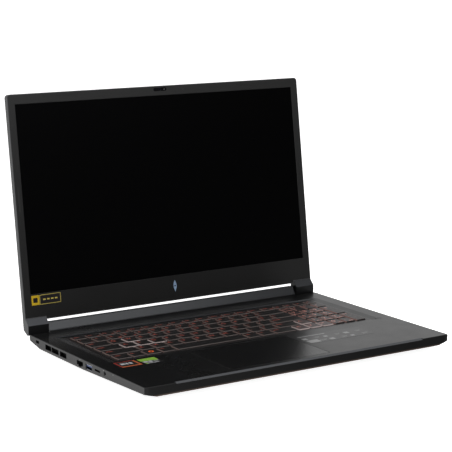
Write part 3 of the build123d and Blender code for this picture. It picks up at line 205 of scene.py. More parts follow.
def metal(name, colour, roughness, stretch=(1.0, 1.0, 1.0), scale=900.0):
    """Bare or plated metal with drawn lines."""
    shader = Shader(name)
    lines = shader.noise(scale, 3.0, 0.6, stretch)
    darker = tuple(value * 0.85 for value in colour)
    shader.to(shader.mix(lines, darker, colour), "Base Color")
    shader.to(shader.ramp(lines, roughness - 0.06, roughness + 0.08, 0.3, 0.7), "Roughness")
    shader.set(Metallic=1.0)
    shader.bump(lines, 0.00002, 0.4)
    return shader


def glowing(name, colour, strength, roughness=0.45):
    """Printed or translucent plastic lit from behind, a little uneven."""
    shader = Shader(name)
    patch = shader.noise(180.0, 2.0)
    dim = tuple(value * 0.72 for value in colour)
    tint = shader.mix(patch, dim, colour)
    shader.to(tint, "Base Color")
    shader.to(tint, "Emission Color")
    shader.set(Emission_Strength=strength, Roughness=roughness)
    return shader


def printed(name, colour, roughness=0.4):
    """Ink on film, with the faint mottle of a screen print."""
    shader = Shader(name)
    mottle = shader.noise(2600.0, 2.0)
    dim = tuple(value * 0.86 for value in colour)
    shader.to(shader.mix(mottle, dim, colour), "Base Color")
    shader.set(Roughness=roughness)
    shader.bump(mottle, 0.00001, 0.3)
    return shader


def paint(node, material):
    """Give a carried-over CAD node its material."""
    mesh = NODES[node].data
    mesh.materials.clear()
    mesh.materials.append(material)


# ---------------------------------------------------------------- materials
BLACK = (0.0050, 0.0050, 0.0052)
KEY_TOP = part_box("key_space")[1].z


def key_material(name, skirt, glow, front=1.0, face=(0.0, 0.0, 0.0)):
    """A black painted cap on a translucent skirt; the backlight shows more on faces turned to the left."""
    shader = Shader(name)
    upward = shader.along((0.0, 0.0, 1.0), "Normal")
    beside = shader.ramp(shader.along((-1.0, 0.0, 0.0), "Normal"), 0.0, 1.0, 0.3, 0.7)
    side = shader.ramp(upward, 1.0, 0.0, 0.75, 0.95)
    height = shader.along((0.0, 0.0, 1.0))
    narrow = shader.ramp(height, 0.0, 1.0, KEY_TOP - 0.9 * MM, KEY_TOP - 0.6 * MM)
    wide = shader.ramp(height, 0.0, 1.0, KEY_TOP - 1.7 * MM, KEY_TOP - 0.9 * MM)
    band = shader.maths("MAXIMUM", narrow, shader.maths("MULTIPLY", wide, beside))
    side = shader.maths("MULTIPLY", side, band)
    wear = shader.noise(160.0, 3.0)
    top = shader.mix(wear, (0.0045, 0.0038, 0.0038), (0.0075, 0.0062, 0.0062))
    grey = tuple(sum(skirt) / 3 * value * front for value in (1.04, 0.99, 0.97))
    shader.to(shader.mix(side, top, shader.mix(beside, grey, skirt)), "Base Color")
    dim = tuple(value * 0.6 * front for value in glow)
    shader.to(shader.mix(side, face, shader.mix(beside, dim, glow)), "Emission Color")
    shader.set(Emission_Strength=1.0, Specular_IOR_Level=0.35)
    shader.to(shader.ramp(shader.noise(700.0, 2.0), 0.36, 0.5, 0.3, 0.7), "Roughness")
    shader.bump(shader.noise(3600.0, 2.0), 0.00002, 0.5)
    return shader.material


def make_materials():
    """Every material of the object, by name.

    The ramps on the deck, bar, bezel and arms follow the photograph's light on them, not a surface colour.
    """
    made = {}
    deck = moulded("deck_plastic", BLACK, 0.33, specular=0.28)
    # Painted highlights: the lowest 2 mm of the deck's walls and the chamfers along the front lip and the
    # rear lip of the keyboard well are painted paler than the black plastic.
    edge = deck.ramp(deck.along((0.0, 0.0, 1.0)), 1.0, 0.0, DECK_LOW.z + 0.4 * MM, DECK_LOW.z + 2.0 * MM)
    forward = deck.along((0.0, -1.0, 0.0), "Normal")
    bevel = deck.maths("MULTIPLY", deck.ramp(forward, 0.0, 1.0, 0.2, 0.3),
                       deck.ramp(forward, 1.0, 0.0, 0.5, 0.65))
    at_front = deck.ramp(deck.along((0.0, 1.0, 0.0)), 1.0, 0.0, FRONT + 4 * MM, FRONT + 6 * MM)
    well_rim = deck.ramp(deck.along((0.0, 0.0, 1.0)), 0.0, 0.8, DECK_TOP - 0.6 * MM, DECK_TOP - 0.4 * MM)
    behind = deck.maths("GREATER_THAN", deck.along((0.0, 1.0, 0.0)), WELL_REAR)
    well_rim = deck.maths("MULTIPLY", well_rim, behind)
    lined = deck.maths("MULTIPLY", bevel, deck.maths("MAXIMUM", at_front, well_rim))
    paler = deck.maths("MAXIMUM", edge, lined)
    # The painted highlights are blue-grey on the chamfers, warm grey on other faces and warm brown on faces
    # turned straight forward.
    tone = deck.mix(bevel, (0.052, 0.047, 0.045), (0.050, 0.053, 0.060))
    painted_highlight = deck.mix(deck.ramp(forward, 0.0, 1.0, 0.75, 0.9), tone, (0.125, 0.090, 0.072))
    deck.to(deck.mix(paler, BLACK, painted_highlight), "Base Color")
    leftward = deck.ramp(deck.along((1.0, 0.0, 0.0)), -0.09, 0.0, -HALF_WIDTH, 0.0)
    deck.to(deck.maths("ADD", deck.gloss, leftward), "Roughness")
    made["deck"] = deck.material
    made["cover"] = moulded("cover_plastic", (0.018, 0.018, 0.019), 0.45).material
    bar = moulded("bar_plastic", (0.0135, 0.0140, 0.0165), 0.30).set(Specular_Tint=(0.94, 0.97, 1.0, 1.0))
    bar.to(bar.ramp(bar.along((0.0, 0.0, 1.0), "Normal"), 0.30, 0.7, 0.6, 0.95), "Roughness")
    made["bar"] = bar.material
    bezel = moulded("bezel_plastic", (0.016, 0.016, 0.016), 0.5, 2600.0, 0.00004, 0.42)
    climb = bezel.ramp(bezel.along((0.0, 0.0, 1.0)), 0.0, 1.0, 0.03, 0.28)
    rightward = bezel.ramp(bezel.along((1.0, 0.0, 0.0)), 0.0, 1.8, 0.12, HALF_WIDTH)
    climb = bezel.maths("MAXIMUM", bezel.maths("POWER", climb, 3.0), rightward)
    bezel.to(bezel.mix(climb, (0.0045, 0.0045, 0.0045), (0.0135, 0.0135, 0.0135)), "Base Color")
    made["bezel"] = bezel.material
    arm = moulded("arm_plastic", BLACK, 0.32).set(Specular_Tint=(0.94, 0.97, 1.0, 1.0))
    upward = arm.along((0.0, 0.0, 1.0), "Normal")
    sloping = arm.maths("MULTIPLY", arm.ramp(upward, 0.0, 1.0, 0.4, 0.6),
                        arm.ramp(upward, 1.0, 0.0, 0.8, 0.95))
    rightward = arm.ramp(arm.along((1.0, 0.0, 0.0)), 1.0, 0.5, -HALF_WIDTH, HALF_WIDTH)
    sloping = arm.maths("MULTIPLY", sloping, rightward)
    arm.to(arm.mix(sloping, (0.0045, 0.0045, 0.0048), (0.068, 0.070, 0.077)), "Base Color")
    made["arm"] = arm.material
    lid = moulded("lid_plastic", (0.030, 0.030, 0.032), 0.45, smear=0.005)
    # Faces of the lid cover turned towards the front are painted lighter grey, a painted highlight on the
    # rim.
    rim = lid.ramp(lid.along(tuple(LID_OUT), "Normal"), 0.0, 1.0, 0.3, 0.7)
    lid.to(lid.mix(rim, (0.030, 0.030, 0.032), (0.085, 0.085, 0.088)), "Base Color")
    made["lid"] = lid.material
    screen = Shader("screen_film")
    sparkle = screen.noise(9000.0, 1.0)
    screen.to(screen.mix(sparkle, (0.0005, 0.0005, 0.0006), (0.0009, 0.0009, 0.0011)), "Base Color")
    screen.to(screen.ramp(sparkle, 0.26, 0.34, 0.3, 0.7), "Roughness")
    screen.set(Specular_IOR_Level=0.08)
    made["screen"] = screen.material
    made["web"] = moulded("web_plastic", (0.010, 0.008, 0.008), 0.45).material
    made["key"] = key_material("key_plastic", (0.13, 0.105, 0.10), (0.050, 0.031, 0.027))
    made["arrow_key"] = key_material("arrow_key_plastic", (0.22, 0.17, 0.16), (0.12, 0.065, 0.058), 1.0,
                                     (0.022, 0.012, 0.012))
    made["pad_key"] = key_material("pad_key_plastic", (0.17, 0.11, 0.10), (0.095, 0.052, 0.045), 0.15,
                                   (0.004, 0.001, 0.001))
    made["touch"] = moulded("touch_film", BLACK, 0.26, 5200.0, 0.000004, 0.25, 0.12, 0.004).material
    made["rubber"] = moulded("stop_rubber", (0.010, 0.010, 0.010), 0.7, 1800.0, 0.00006).material
    made["foot"] = moulded("foot_rubber", (0.018, 0.018, 0.018), 0.8, 1200.0, 0.0001).material
    made["steel"] = metal("sheet_steel", (0.52, 0.52, 0.53), 0.35, (1.0, 8.0, 1.0)).material
    made["dark_steel"] = metal("hinge_steel", (0.10, 0.10, 0.105), 0.38, (8.0, 1.0, 1.0)).material
    made["plated"] = metal("plated_steel", (0.62, 0.62, 0.63), 0.22, (1.0, 4.0, 4.0)).material
    made["aluminium"] = metal("fin_aluminium", (0.72, 0.73, 0.74), 0.35, (1.0, 1.0, 6.0)).material
    made["dark_fins"] = metal("blackened_fins", (0.035, 0.034, 0.034), 0.5, (1.0, 1.0, 6.0)).material
    made["copper"] = metal("drawn_copper", (0.78, 0.40, 0.24), 0.3, (1.0, 6.0, 1.0)).material
    made["gold"] = metal("contact_gold", (0.85, 0.62, 0.25), 0.25, (1.0, 4.0, 1.0)).material
    made["socket"] = moulded("socket_plastic", (0.010, 0.010, 0.011), 0.45).material
    made["board"] = moulded("solder_mask", (0.012, 0.050, 0.032), 0.35, 900.0, 0.00008).material
    made["wrap"] = moulded("battery_film", (0.022, 0.022, 0.024), 0.3, 300.0, 0.00012).material
    made["silicone"] = moulded("dome_silicone", (0.45, 0.42, 0.40), 0.55).material
    lens = Shader("lens_glass")
    lens.to(lens.mix(lens.noise(4000.0, 2.0), (0.003, 0.003, 0.006), (0.008, 0.007, 0.014)), "Base Color")
    lens.to(lens.ramp(lens.noise(600.0, 2.0), 0.04, 0.09, 0.3, 0.7), "Roughness")
    made["lens"] = lens.material
    made["window"] = moulded("window_glass", (0.006, 0.006, 0.007), 0.12, 5000.0, 0.000005).material
    made["emblem"] = printed("emblem_ink", (0.30, 0.42, 0.60), 0.3).material
    made["label"] = printed("label_film", (0.012, 0.010, 0.012), 0.3).material
    made["clear"] = moulded("clear_film", (0.0065, 0.0065, 0.0067), 0.30, 5200.0, 0.000004, 0.28).material
    made["legend"] = glowing("legend_light", (0.33, 0.066, 0.047), 0.50).material
    made["pale_legend"] = glowing("pale_legend_light", (0.46, 0.19, 0.155), 0.45).material
    made["hot_legend"] = glowing("hot_legend_light", (0.85, 0.13, 0.03), 0.7).material
    made["skirt"] = glowing("skirt_light", (0.42, 0.35, 0.34), 0.36).material
    made["light"] = glowing("status_light", (0.70, 0.82, 0.90), 0.15).material
    made["yellow"] = printed("yellow_ink", (0.56, 0.37, 0.010)).material
    made["gold_ink"] = printed("gold_ink", (0.52, 0.42, 0.09)).material
    made["red"] = printed("red_ink", (0.36, 0.030, 0.018)).material
    made["orange"] = printed("orange_ink", (0.48, 0.13, 0.04)).material
    made["white"] = printed("white_ink", (0.50, 0.51, 0.52)).material
    made["green"] = printed("green_ink", (0.26, 0.50, 0.05)).material
    made["silver"] = printed("silver_ink", (0.26, 0.26, 0.26)).material
    made["blue"] = moulded("tongue_plastic", (0.03, 0.06, 0.20), 0.4).material
    made["gauze"] = moulded("gauze_fabric", (0.012, 0.012, 0.012), 0.8, 1500.0, 0.0002).material
    return made


MATERIALS = make_materials()
KEY_ROWS = ("keys_function_row", "keys_number_row", "keys_upper_row", "keys_home_row",
            "keys_lower_row", "keys_bottom_row", "key_space", "key_enter")
FINISHES = {
    "deck": ("deck",),
    "bar": ("hinge_bar_cover",),
    "cover": ("bottom_cover",),
    "lid": ("lid_back_cover",),
    "arm": ("hinge_arm_left", "hinge_arm_right"),
    "bezel": ("screen_bezel",),
    "screen": ("display_panel",),
    "web": ("keyboard_frame",),
    "key": KEY_ROWS,
    "arrow_key": ("keys_arrows",),
    "pad_key": ("keys_numpad",),
    "touch": ("touchpad",),
    "rubber": ("bezel_bumpers",),
    "foot": ("rubber_feet",),
    "steel": ("panel_tray", "keyboard_plate"),
    "dark_steel": ("lid_hinge_left", "lid_hinge_right", "hinge_mounts", "lock_plate", "bottom_screws"),
    "plated": ("usb_port_left", "usb_ports_right", "usb_c_port", "video_port"),
    "aluminium": ("rear_fin_stacks",),
    "dark_fins": ("side_fin_stacks",),
    "copper": ("heat_pipes", "cold_plates"),
    "socket": ("audio_jack", "network_jack", "card_slot", "power_inlet", "fan_housings",
               "fan_rotor_left", "fan_rotor_right", "speakers", "display_cable"),
    "board": ("mainboard", "memory_modules", "storage_drive", "wireless_card", "camera_module",
              "wireless_antennas"),
    "wrap": ("battery",),
    "silicone": ("key_domes",),
    "lens": ("camera_lens",),
    "emblem": ("bezel_emblem",),
    "label": ("bezel_sticker",),
    "clear": ("palm_stickers",),
    "light": ("status_lights",),
}


def finish_nodes():
    """Hand each CAD node its material."""
    for key, nodes in FINISHES.items():
        for node in nodes:
            paint(node, MATERIALS[key])


# ---------------------------------------------------------------- mesh tools
def piece(name, build, material, body, place=None):
    """Make a mesh from a bmesh recipe, in a local frame, and let it ride on a body."""
    mesh = bpy.data.meshes.new(name)
    shape = bmesh.new()
    build(shape)
    bmesh.ops.recalc_face_normals(shape, faces=shape.faces)
    shape.to_mesh(mesh)
    shape.free()
    if place is not None:
        mesh.transform(place)
    made = bpy.data.objects.new(name, mesh)
    bpy.context.scene.collection.objects.link(made)
    mesh.materials.append(MATERIALS[material])
    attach(made, body)
    return made


def rounded_outline(x_low, x_high, y_low, y_high, radius, steps=4):
    """Points of a round-cornered rectangle, anticlockwise."""
    points = []
    for centre_x, centre_y, start in ((x_high - radius, y_high - radius, 0),
                                      (x_low + radius, y_high - radius, 1),
                                      (x_low + radius, y_low + radius, 2),
                                      (x_high - radius, y_low + radius, 3)):
        for step in range(steps + 1):
            angle = (start + step / steps) * math.pi / 2
            points.append((centre_x + radius * math.cos(angle), centre_y + radius * math.sin(angle)))
    return points


def add_plate(shape, points, low, high, bevel=0.0):
    """Add a closed plate over an outline, its top drawn in by a small bevel."""
    centre_x = sum(p[0] for p in points) / len(points)
    centre_y = sum(p[1] for p in points) / len(points)
    reach = max(math.hypot(p[0] - centre_x, p[1] - centre_y) for p in points)
    shrink = 1 - bevel / reach
    bottom = [shape.verts.new((x, y, low)) for x, y in points]
    top = [shape.verts.new((centre_x + (x - centre_x) * shrink, centre_y + (y - centre_y) * shrink, high))
           for x, y in points]
    shape.faces.new(reversed(bottom))
    shape.faces.new(top)
    count = len(points)
    for index in range(count):
        after = (index + 1) % count
        shape.faces.new((bottom[index], bottom[after], top[after], top[index]))


def add_ring(shape, outer, inner, low, high):
    """Add a closed ring between two outlines with the same number of points."""
    rows = [[shape.verts.new((x, y, z)) for x, y in outline]
            for outline, z in ((outer, low), (outer, high), (inner, high), (inner, low))]
    count = len(outer)
    for level in range(4):
        first, second = rows[level], rows[(level + 1) % 4]
        for index in range(count):
            after = (index + 1) % count
            shape.faces.new((first[index], first[after], second[after], second[index]))


# ---------------------------------------------------------------- key legends
def islands(node):
    """The boxes of a node's separate solids, as (low, high) corners, sorted by row and place."""
    shape = bmesh.new()
    shape.from_mesh(NODES[node].data)
    bmesh.ops.remove_doubles(shape, verts=shape.verts, dist=1e-7)
    seen = set()
    boxes = []
    for vert in shape.verts:
        if vert.index in seen:
            continue
        stack = [vert]
        seen.add(vert.index)
        corners = []
        while stack:
            current = stack.pop()
            corners.append(current.co.copy())
            for edge in current.link_edges:
                other = edge.other_vert(current)
                if other.index not in seen:
                    seen.add(other.index)
                    stack.append(other)
        boxes.append((Vector([min(c[i] for c in corners) for i in range(3)]),
                      Vector([max(c[i] for c in corners) for i in range(3)])))
    shape.free()
    return sorted(boxes, key=lambda b: (-round(b[1].y, 4), b[0].x))


LEGENDS = {
    "keys_function_row": ["esc", "F1", "F2", "F3", "F4", "F5", "F6", "F7", "F8", "F9", "F10", "F11",
                          "F12", "prt", "del", "o", "<", ">", "=|"],
    "keys_number_row": ["`", "1", "2", "3", "4", "5", "6", "7", "8", "9", "0", "-", "=", "<-"],
    "keys_upper_row": ["tab", "Q", "W", "E", "R", "T", "Y", "U", "I", "O", "P", "[", "]", "\\"],
    "keys_home_row": ["caps", "A", "S", "D", "F", "G", "H", "J", "K", "L", ";", "'"],
    "keys_lower_row": ["shift", "Z", "X", "C", "V", "B", "N", "M", ",", ".", "/", "shift"],
    "keys_bottom_row": ["ctrl", "fn", "", "alt", "alt", "=", "ctrl"],
    "keys_arrows": ["^", "<", "v", ">"],
    "keys_numpad": ["num", "/", "*", "-", "7", "8", "9", "+", "4", "5", "6", "1", "2", "3", "ent",
                    "0", "."],
    "key_enter": ["enter"],
}
SECOND_LEGENDS = {
    "keys_function_row": ["", "z", "o", "o", "o", "o", "x", "o", "o", "=", "=", "=", "+", "", "ins",
                          "", "", "", ""],
    "keys_number_row": ["~", "!", "@", "#", "$", "%", "^", "&", "*", "(", ")", "_", "+", ""],
    "keys_lower_row": ["", "", "", "", "", "", "", "", "<", ">", "?", ""],
    "keys_home_row": ["", "", "", "", "", "", "", "", "", "", ":", "'"],
    "keys_upper_row": ["", "", "", "", "", "", "", "", "", "", "", "{", "}", "|"],
    "keys_numpad": ["lock", "", "", "", "home", "up", "pgup", "", "left", "", "right", "end", "down",
                    "pgdn", "", "ins", "del"],
}
LEGEND_HEIGHT = FILM
LEGEND_SIZE = 7.4 * MM
WORD_SIZE = 5.0 * MM
SECOND_SIZE = 5.0 * MM
LEGEND_INSET = 2.4 * MM
SECOND_INSET = LEGEND_INSET * 0.7
CAPITAL = 0.72
BIG_LEGENDS = {"keys_numpad": 1.3, "keys_arrows": 1.4}


def text_mesh(words, size, thickness):
    """A thin closed mesh of lettering, its lower left corner at the origin."""
    curve = bpy.data.curves.new("lettering", "FONT")
    curve.body = words
    curve.size = size
    curve.extrude = thickness / 2
    curve.resolution_u = 3
    holder = bpy.data.objects.new("lettering", curve)
    mesh = bpy.data.meshes.new_from_object(holder)
    bpy.data.objects.remove(holder)
    bpy.data.curves.remove(curve)
    return mesh


def join_meshes(name, meshes, material, body):
    """Join placed meshes into one piece that rides on a body."""
    shape = bmesh.new()
    for mesh in meshes:
        shape.from_mesh(mesh)
        bpy.data.meshes.remove(mesh)
    bmesh.ops.remove_doubles(shape, verts=shape.verts, dist=1e-7)
    result = bpy.data.meshes.new(name)
    shape.to_mesh(result)
    shape.free()
    result.materials.append(MATERIALS[material])
    made = bpy.data.objects.new(name, result)
    bpy.context.scene.collection.objects.link(made)
    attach(made, body)
    return made


def make_legends():
    """Lettering on the caps: a main character at the upper left, a second one at the lower right."""
    for node, words in LEGENDS.items():
        meshes = []
        boxes = islands(node)
        seconds = SECOND_LEGENDS.get(node, [""] * len(boxes))
        swell = BIG_LEGENDS.get(node, 1.0)
        ink = "pale_legend" if node in BIG_LEGENDS else "legend"
        for (low, high), word, second in zip(boxes, words, seconds):
            size = swell * LEGEND_SIZE if len(word) == 1 else WORD_SIZE
            if word:
                mesh = text_mesh(word, size, LEGEND_HEIGHT)
                mesh.transform(Matrix.Translation((low.x + LEGEND_INSET,
                                                   high.y - LEGEND_INSET - size * CAPITAL,
                                                   high.z + LEGEND_HEIGHT / 2)))
                meshes.append(mesh)
            if second:
                mesh = text_mesh(second, SECOND_SIZE, LEGEND_HEIGHT)
                reach = max(vertex.co.x for vertex in mesh.vertices)
                mesh.transform(Matrix.Translation((high.x - SECOND_INSET - reach, low.y + SECOND_INSET,
                                                   high.z + LEGEND_HEIGHT / 2)))
                meshes.append(mesh)
        join_meshes(f"legends_{node}", meshes, ink, node)


def make_hot_key():
    """A plain ring on the one key that is lit orange."""
    low, high = islands("keys_bottom_row")[2]
    middle = (low + high) / 2
    reach = 3.0 * MM
    line = 0.9 * MM

    def build(shape):
        outer = rounded_outline(middle.x - reach, middle.x + reach, middle.y - reach,
                                middle.y + reach, reach)
        inner_reach = reach - line
        inner = rounded_outline(middle.x - inner_reach, middle.x + inner_reach, middle.y - inner_reach,
                                middle.y + inner_reach, inner_reach)
        add_ring(shape, outer, inner, high.z, high.z + LEGEND_HEIGHT)

    piece("hot_key_mark", build, "hot_legend", "keys_bottom_row", None)


def make_skirts():
    """Bright translucent frames round the keys that games use."""
    wanted = {"keys_upper_row": (2,), "keys_home_row": (1, 2, 3), "keys_arrows": (0, 1, 2, 3)}
    width = 0.55 * MM
    for node, places in wanted.items():
        boxes = islands(node)

        def build(shape):
            for place in places:
                low, high = boxes[place]
                outer = rounded_outline(low.x - 0.12 * MM, high.x + 0.12 * MM, low.y - 0.12 * MM,
                                        high.y + 0.12 * MM, 1.0 * MM)
                inner = rounded_outline(low.x + width, high.x - width, low.y + width, high.y - width,
                                        0.6 * MM)
                add_ring(shape, outer, inner, low.z + 0.2 * MM, high.z - 0.25 * MM)

        piece(f"skirts_{node}", build, "skirt", node, None)


# ---------------------------------------------------------------- printing on labels
def bars(rows, low=0.0, high=FILM, radius=0.15 * MM):
    """A recipe for small round-cornered marks; each row is left, right, bottom, top in millimetres."""
    def build(shape):
        for left, right, bottom, top in rows:
            outline = rounded_outline(left * MM, right * MM, bottom * MM, top * MM, radius)
            add_plate(shape, outline, low, high)
    return build


def make_palm_labels():
    """Generic coloured labels on the left and pale line graphics on the right of the palm rest."""
    lift = 0.08 * MM
    layers = (
        ("left_label_frame", "red", [(-180.6, -155.9, 77.4, 97.6)], 1),
        ("left_label_band", "orange", [(-180.0, -156.4, 77.9, 80.4), (-158.6, -156.4, 80.4, 96.8)], 2),
        ("left_label_field", "label", [(-178.8, -158.6, 80.6, 96.4)], 2),
        ("left_label_marks", "white", [(-176.6, -171.6, 86.0, 91.6), (-170.4, -167.4, 86.0, 91.6),
                                       (-166.2, -162.4, 86.0, 91.6)], 3),
        ("right_label_band", "green", [(-152.6, -131.4, 87.0, 96.1)], 1),
        ("right_label_field", "label", [(-152.6, -131.4, 75.4, 87.0)], 1),
        ("right_label_marks", "white", [(-151.4, -146.4, 81.4, 86.2), (-145.2, -140.6, 81.4, 86.2),
                                        (-138.6, -133.4, 82.8, 84.6), (-149.4, -135.4, 77.4, 79.2)], 2),
        ("right_label_dashes", "green", [(-139.0, -132.6, 85.4, 86.6), (-151.6, -149.8, 76.6, 79.8)], 2),
    )
    for name, material, rows, level in layers:
        base = lift + (level - 1) * FILM
        piece(name, bars(rows, base, base + FILM), material, "base", DECK_FRAME)
    panel_left, panel_bottom = 46.0, 53.6
    column_pitch, row_pitch = 29.0, 12.5
    panel = [(panel_left, 84.0, 78.2, 80.2), (panel_left, 61.0, 52.6, 62.6)]
    for column in range(3):
        left = panel_left + column * column_pitch
        for row in range(2):
            bottom = panel_bottom + row * row_pitch
            size = 5.0 + 1.5 * ((column + row) % 2)
            if column + row:
                panel.append((left, left + size, bottom, bottom + size * 0.9))
            for line in range(2):
                width = (9.0, 6.5)[line] - 1.5 * row
                panel.append((left + 17.0, left + 17.0 + width,
                              bottom + 4.6 - 3.0 * line, bottom + 5.4 - 3.0 * line))
    piece("specification_marks", bars(panel, lift, lift + FILM), "silver", "base", DECK_FRAME)


def make_bezel_label():
    """A yellow square with a dark one in it, beside a gold outline round a row of equal blocks."""
    low, high = 0.12 * MM, 0.14 * MM
    piece("bezel_label_square", bars([(-190.6, -180.8, -12.7, -1.7)], low, high, 0.4 * MM), "yellow", "lid",
          LID_FRAME)
    piece("bezel_label_mark", bars([(-188.4, -183.0, -9.9, -4.5)], high, high + FILM), "label", "lid",
          LID_FRAME)

    def outline(shape):
        outer = rounded_outline(-180.4 * MM, -153.4 * MM, -12.7 * MM, -1.7 * MM, 0.4 * MM)
        inner = rounded_outline(-179.8 * MM, -154.0 * MM, -12.1 * MM, -2.3 * MM, 0.3 * MM)
        add_ring(shape, outer, inner, low, high)

    piece("bezel_label_outline", outline, "gold_ink", "lid", LID_FRAME)
    blocks = [(left, left + 3.2, -8.0, -6.4) for left in (-175.9, -170.9, -165.9, -160.9)]
    piece("bezel_label_strokes", bars(blocks, low, high), "gold_ink", "lid", LID_FRAME)


# ---------------------------------------------------------------- sockets and vents
def make_socket_details():
    """Coloured tongues and the dark gauze behind the intakes."""
    for node in ("usb_port_left", "usb_ports_right"):
        for index, (low, high) in enumerate(islands(node)):
            middle = (low + high) / 2
            side = -1 if middle.x < 0 else 1
            mouth = low.x if side < 0 else high.x
            ends = sorted((mouth - side * 0.7 * MM, mouth - side * 13.0 * MM))
            level = middle.z + 1.2 * MM

            def build(shape):
                outline = rounded_outline(ends[0], ends[1], middle.y - 5.65 * MM, middle.y + 5.65 * MM,
                                          0.3 * MM)
                add_plate(shape, outline, level - 0.85 * MM, level + 0.85 * MM, 0.1 * MM)

            piece(f"tongue_{node}_{index}", build, "blue", "base", None)

    def gauze(shape):
        for side in (-1, 1):
            low_x, high_x = sorted((side * 90 * MM, side * 160 * MM))
            outline = rounded_outline(low_x, high_x, FRONT + 178 * MM, FRONT + 234 * MM, 3 * MM)
            add_plate(shape, outline, 3.45 * MM, 3.7 * MM)

    piece("intake_gauze", gauze, "gauze", "base", None)


def make_network_contacts():
    """Eight gilt springs under the roof of the network socket."""
    low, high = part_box("network_jack")
    middle = (low.y + high.y) / 2
    pitch = 1.02 * MM

    def build(shape):
        for index in range(8):
            centre = middle + (index - 3.5) * pitch
            outline = rounded_outline(low.x + 1.2 * MM, low.x + 9.5 * MM, centre - 0.22 * MM,
                                      centre + 0.22 * MM, 0.1 * MM, 2)
            add_plate(shape, outline, high.z - 1.75 * MM, high.z - 1.45 * MM, 0.05 * MM)

    piece("network_contacts", build, "gold", "base", None)


def make_camera_ring():
    """A glossy window strip round the camera, with a small round indicator."""
    low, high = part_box("camera_lens")
    centre = LID_FRAME.inverted() @ ((low + high) / 2)

    def window(shape):
        outer = rounded_outline(centre.x - 9 * MM, centre.x + 9 * MM, centre.y - 2.1 * MM,
                                centre.y + 2.1 * MM, 2.0 * MM, 6)
        inner = rounded_outline(centre.x - 1.7 * MM, centre.x + 1.7 * MM, centre.y - 1.7 * MM,
                                centre.y + 1.7 * MM, 1.6 * MM, 6)
        add_ring(shape, outer, inner, 0.0, 0.03 * MM)

    piece("camera_window", window, "window", "lid", LID_FRAME)

    def indicator(shape):
        outline = rounded_outline(centre.x + 5.2 * MM, centre.x + 6.2 * MM, centre.y - 0.5 * MM,
                                  centre.y + 0.5 * MM, 0.49 * MM, 4)
        add_plate(shape, outline, 0.03 * MM, 0.05 * MM)

    piece("camera_indicator", indicator, "silver", "lid", LID_FRAME)


def make_side_symbols():
    """Tiny pale symbols printed beside the sockets of the left wall."""
    wall = Matrix(((0, 0, -1, -HALF_WIDTH), (-1, 0, 0, FRONT), (0, 1, 0, 0), (0, 0, 0, 1)))
    rows = []
    for depth in (64.0, 84.0, 108.0, 134.7):
        rows.append((-depth - 1.3, -depth + 1.3, 17.15, 17.4))
        rows.append((-depth - 0.2, -depth + 0.2, 16.6, 17.9))
    piece("side_symbols", bars(rows, 0.0, 0.015 * MM, 0.05 * MM), "silver", "base", wall)


def make_bottom_label():
    """A plain rating plate without writing on the underside, bars standing for its lines."""
    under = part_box("bottom_cover")[0].z
    face = Matrix(((1, 0, 0, 0), (0, -1, 0, FRONT + 150 * MM), (0, 0, -1, under), (0, 0, 0, 1)))
    piece("rating_plate", bars([(-52.0, 52.0, -2.0, 26.0)], 0.0, 0.03 * MM, 1.2 * MM), "label", "base", face)
    rows = [(-48.0, 20.0, 21.5, 23.5), (-48.0, 4.0, 17.5, 18.7), (-48.0, 12.0, 14.3, 15.5),
            (-48.0, -2.0, 11.1, 12.3), (-48.0, 8.0, 7.9, 9.1), (-48.0, -8.0, 4.7, 5.9)]
    rows += [(22.0 + 2.4 * step, 23.1 + 2.4 * step, 3.0, 14.0) for step in range(11)]
    piece("rating_lines", bars(rows, 0.03 * MM, 0.05 * MM), "silver", "base", face)


def make_lid_mark():
    """A plain diamond outline, a thin film in the middle of the lid's back."""
    thickness = 7.0 * MM
    back = LID_FRAME @ Matrix(((-1, 0, 0, 0), (0, 1, 0, 110 * MM), (0, 0, -1, -thickness), (0, 0, 0, 1)))

    def build(shape):
        outer = [(0, 13 * MM), (-8 * MM, 0), (0, -13 * MM), (8 * MM, 0)]
        inner = [(0, 9.4 * MM), (-5.8 * MM, 0), (0, -9.4 * MM), (5.8 * MM, 0)]
        add_ring(shape, outer, inner, 0.0, 0.03 * MM)

    piece("lid_mark", build, "window", "lid", back)


def make_touch_seam():
    """The dark seam round the touchpad, at deck level."""
    low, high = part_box("touchpad")
    line = 0.35 * MM

    def build(shape):
        outer = rounded_outline(low.x - 2 * line, high.x + 2 * line, low.y - 2 * line,
                                high.y + 2 * line, 2.6 * MM)
        inner = rounded_outline(low.x - line, high.x + line, low.y - line, high.y + line, 2.2 * MM)
        add_ring(shape, outer, inner, DECK_TOP, DECK_TOP + FILM)

    piece("touchpad_seam", build, "rubber", "base", None)


def make_corner_shade_ring():
    """A small dark ring on the deck beside the number pad's front corner, painted shade standing for the
    dark corner of the keyboard well.
    """
    def build(shape):
        outer = rounded_outline(178.0 * MM, 186.0 * MM, 98.8 * MM, 106.8 * MM, 3.95 * MM, 6)
        inner = rounded_outline(180.4 * MM, 183.6 * MM, 101.2 * MM, 104.4 * MM, 1.55 * MM, 6)
        add_ring(shape, outer, inner, 0.0, 0.05 * MM)

    piece("corner_ring", build, "socket", "base", DECK_FRAME)


# ---------------------------------------------------------------- surroundings
FLOOR_REACH = 12.0


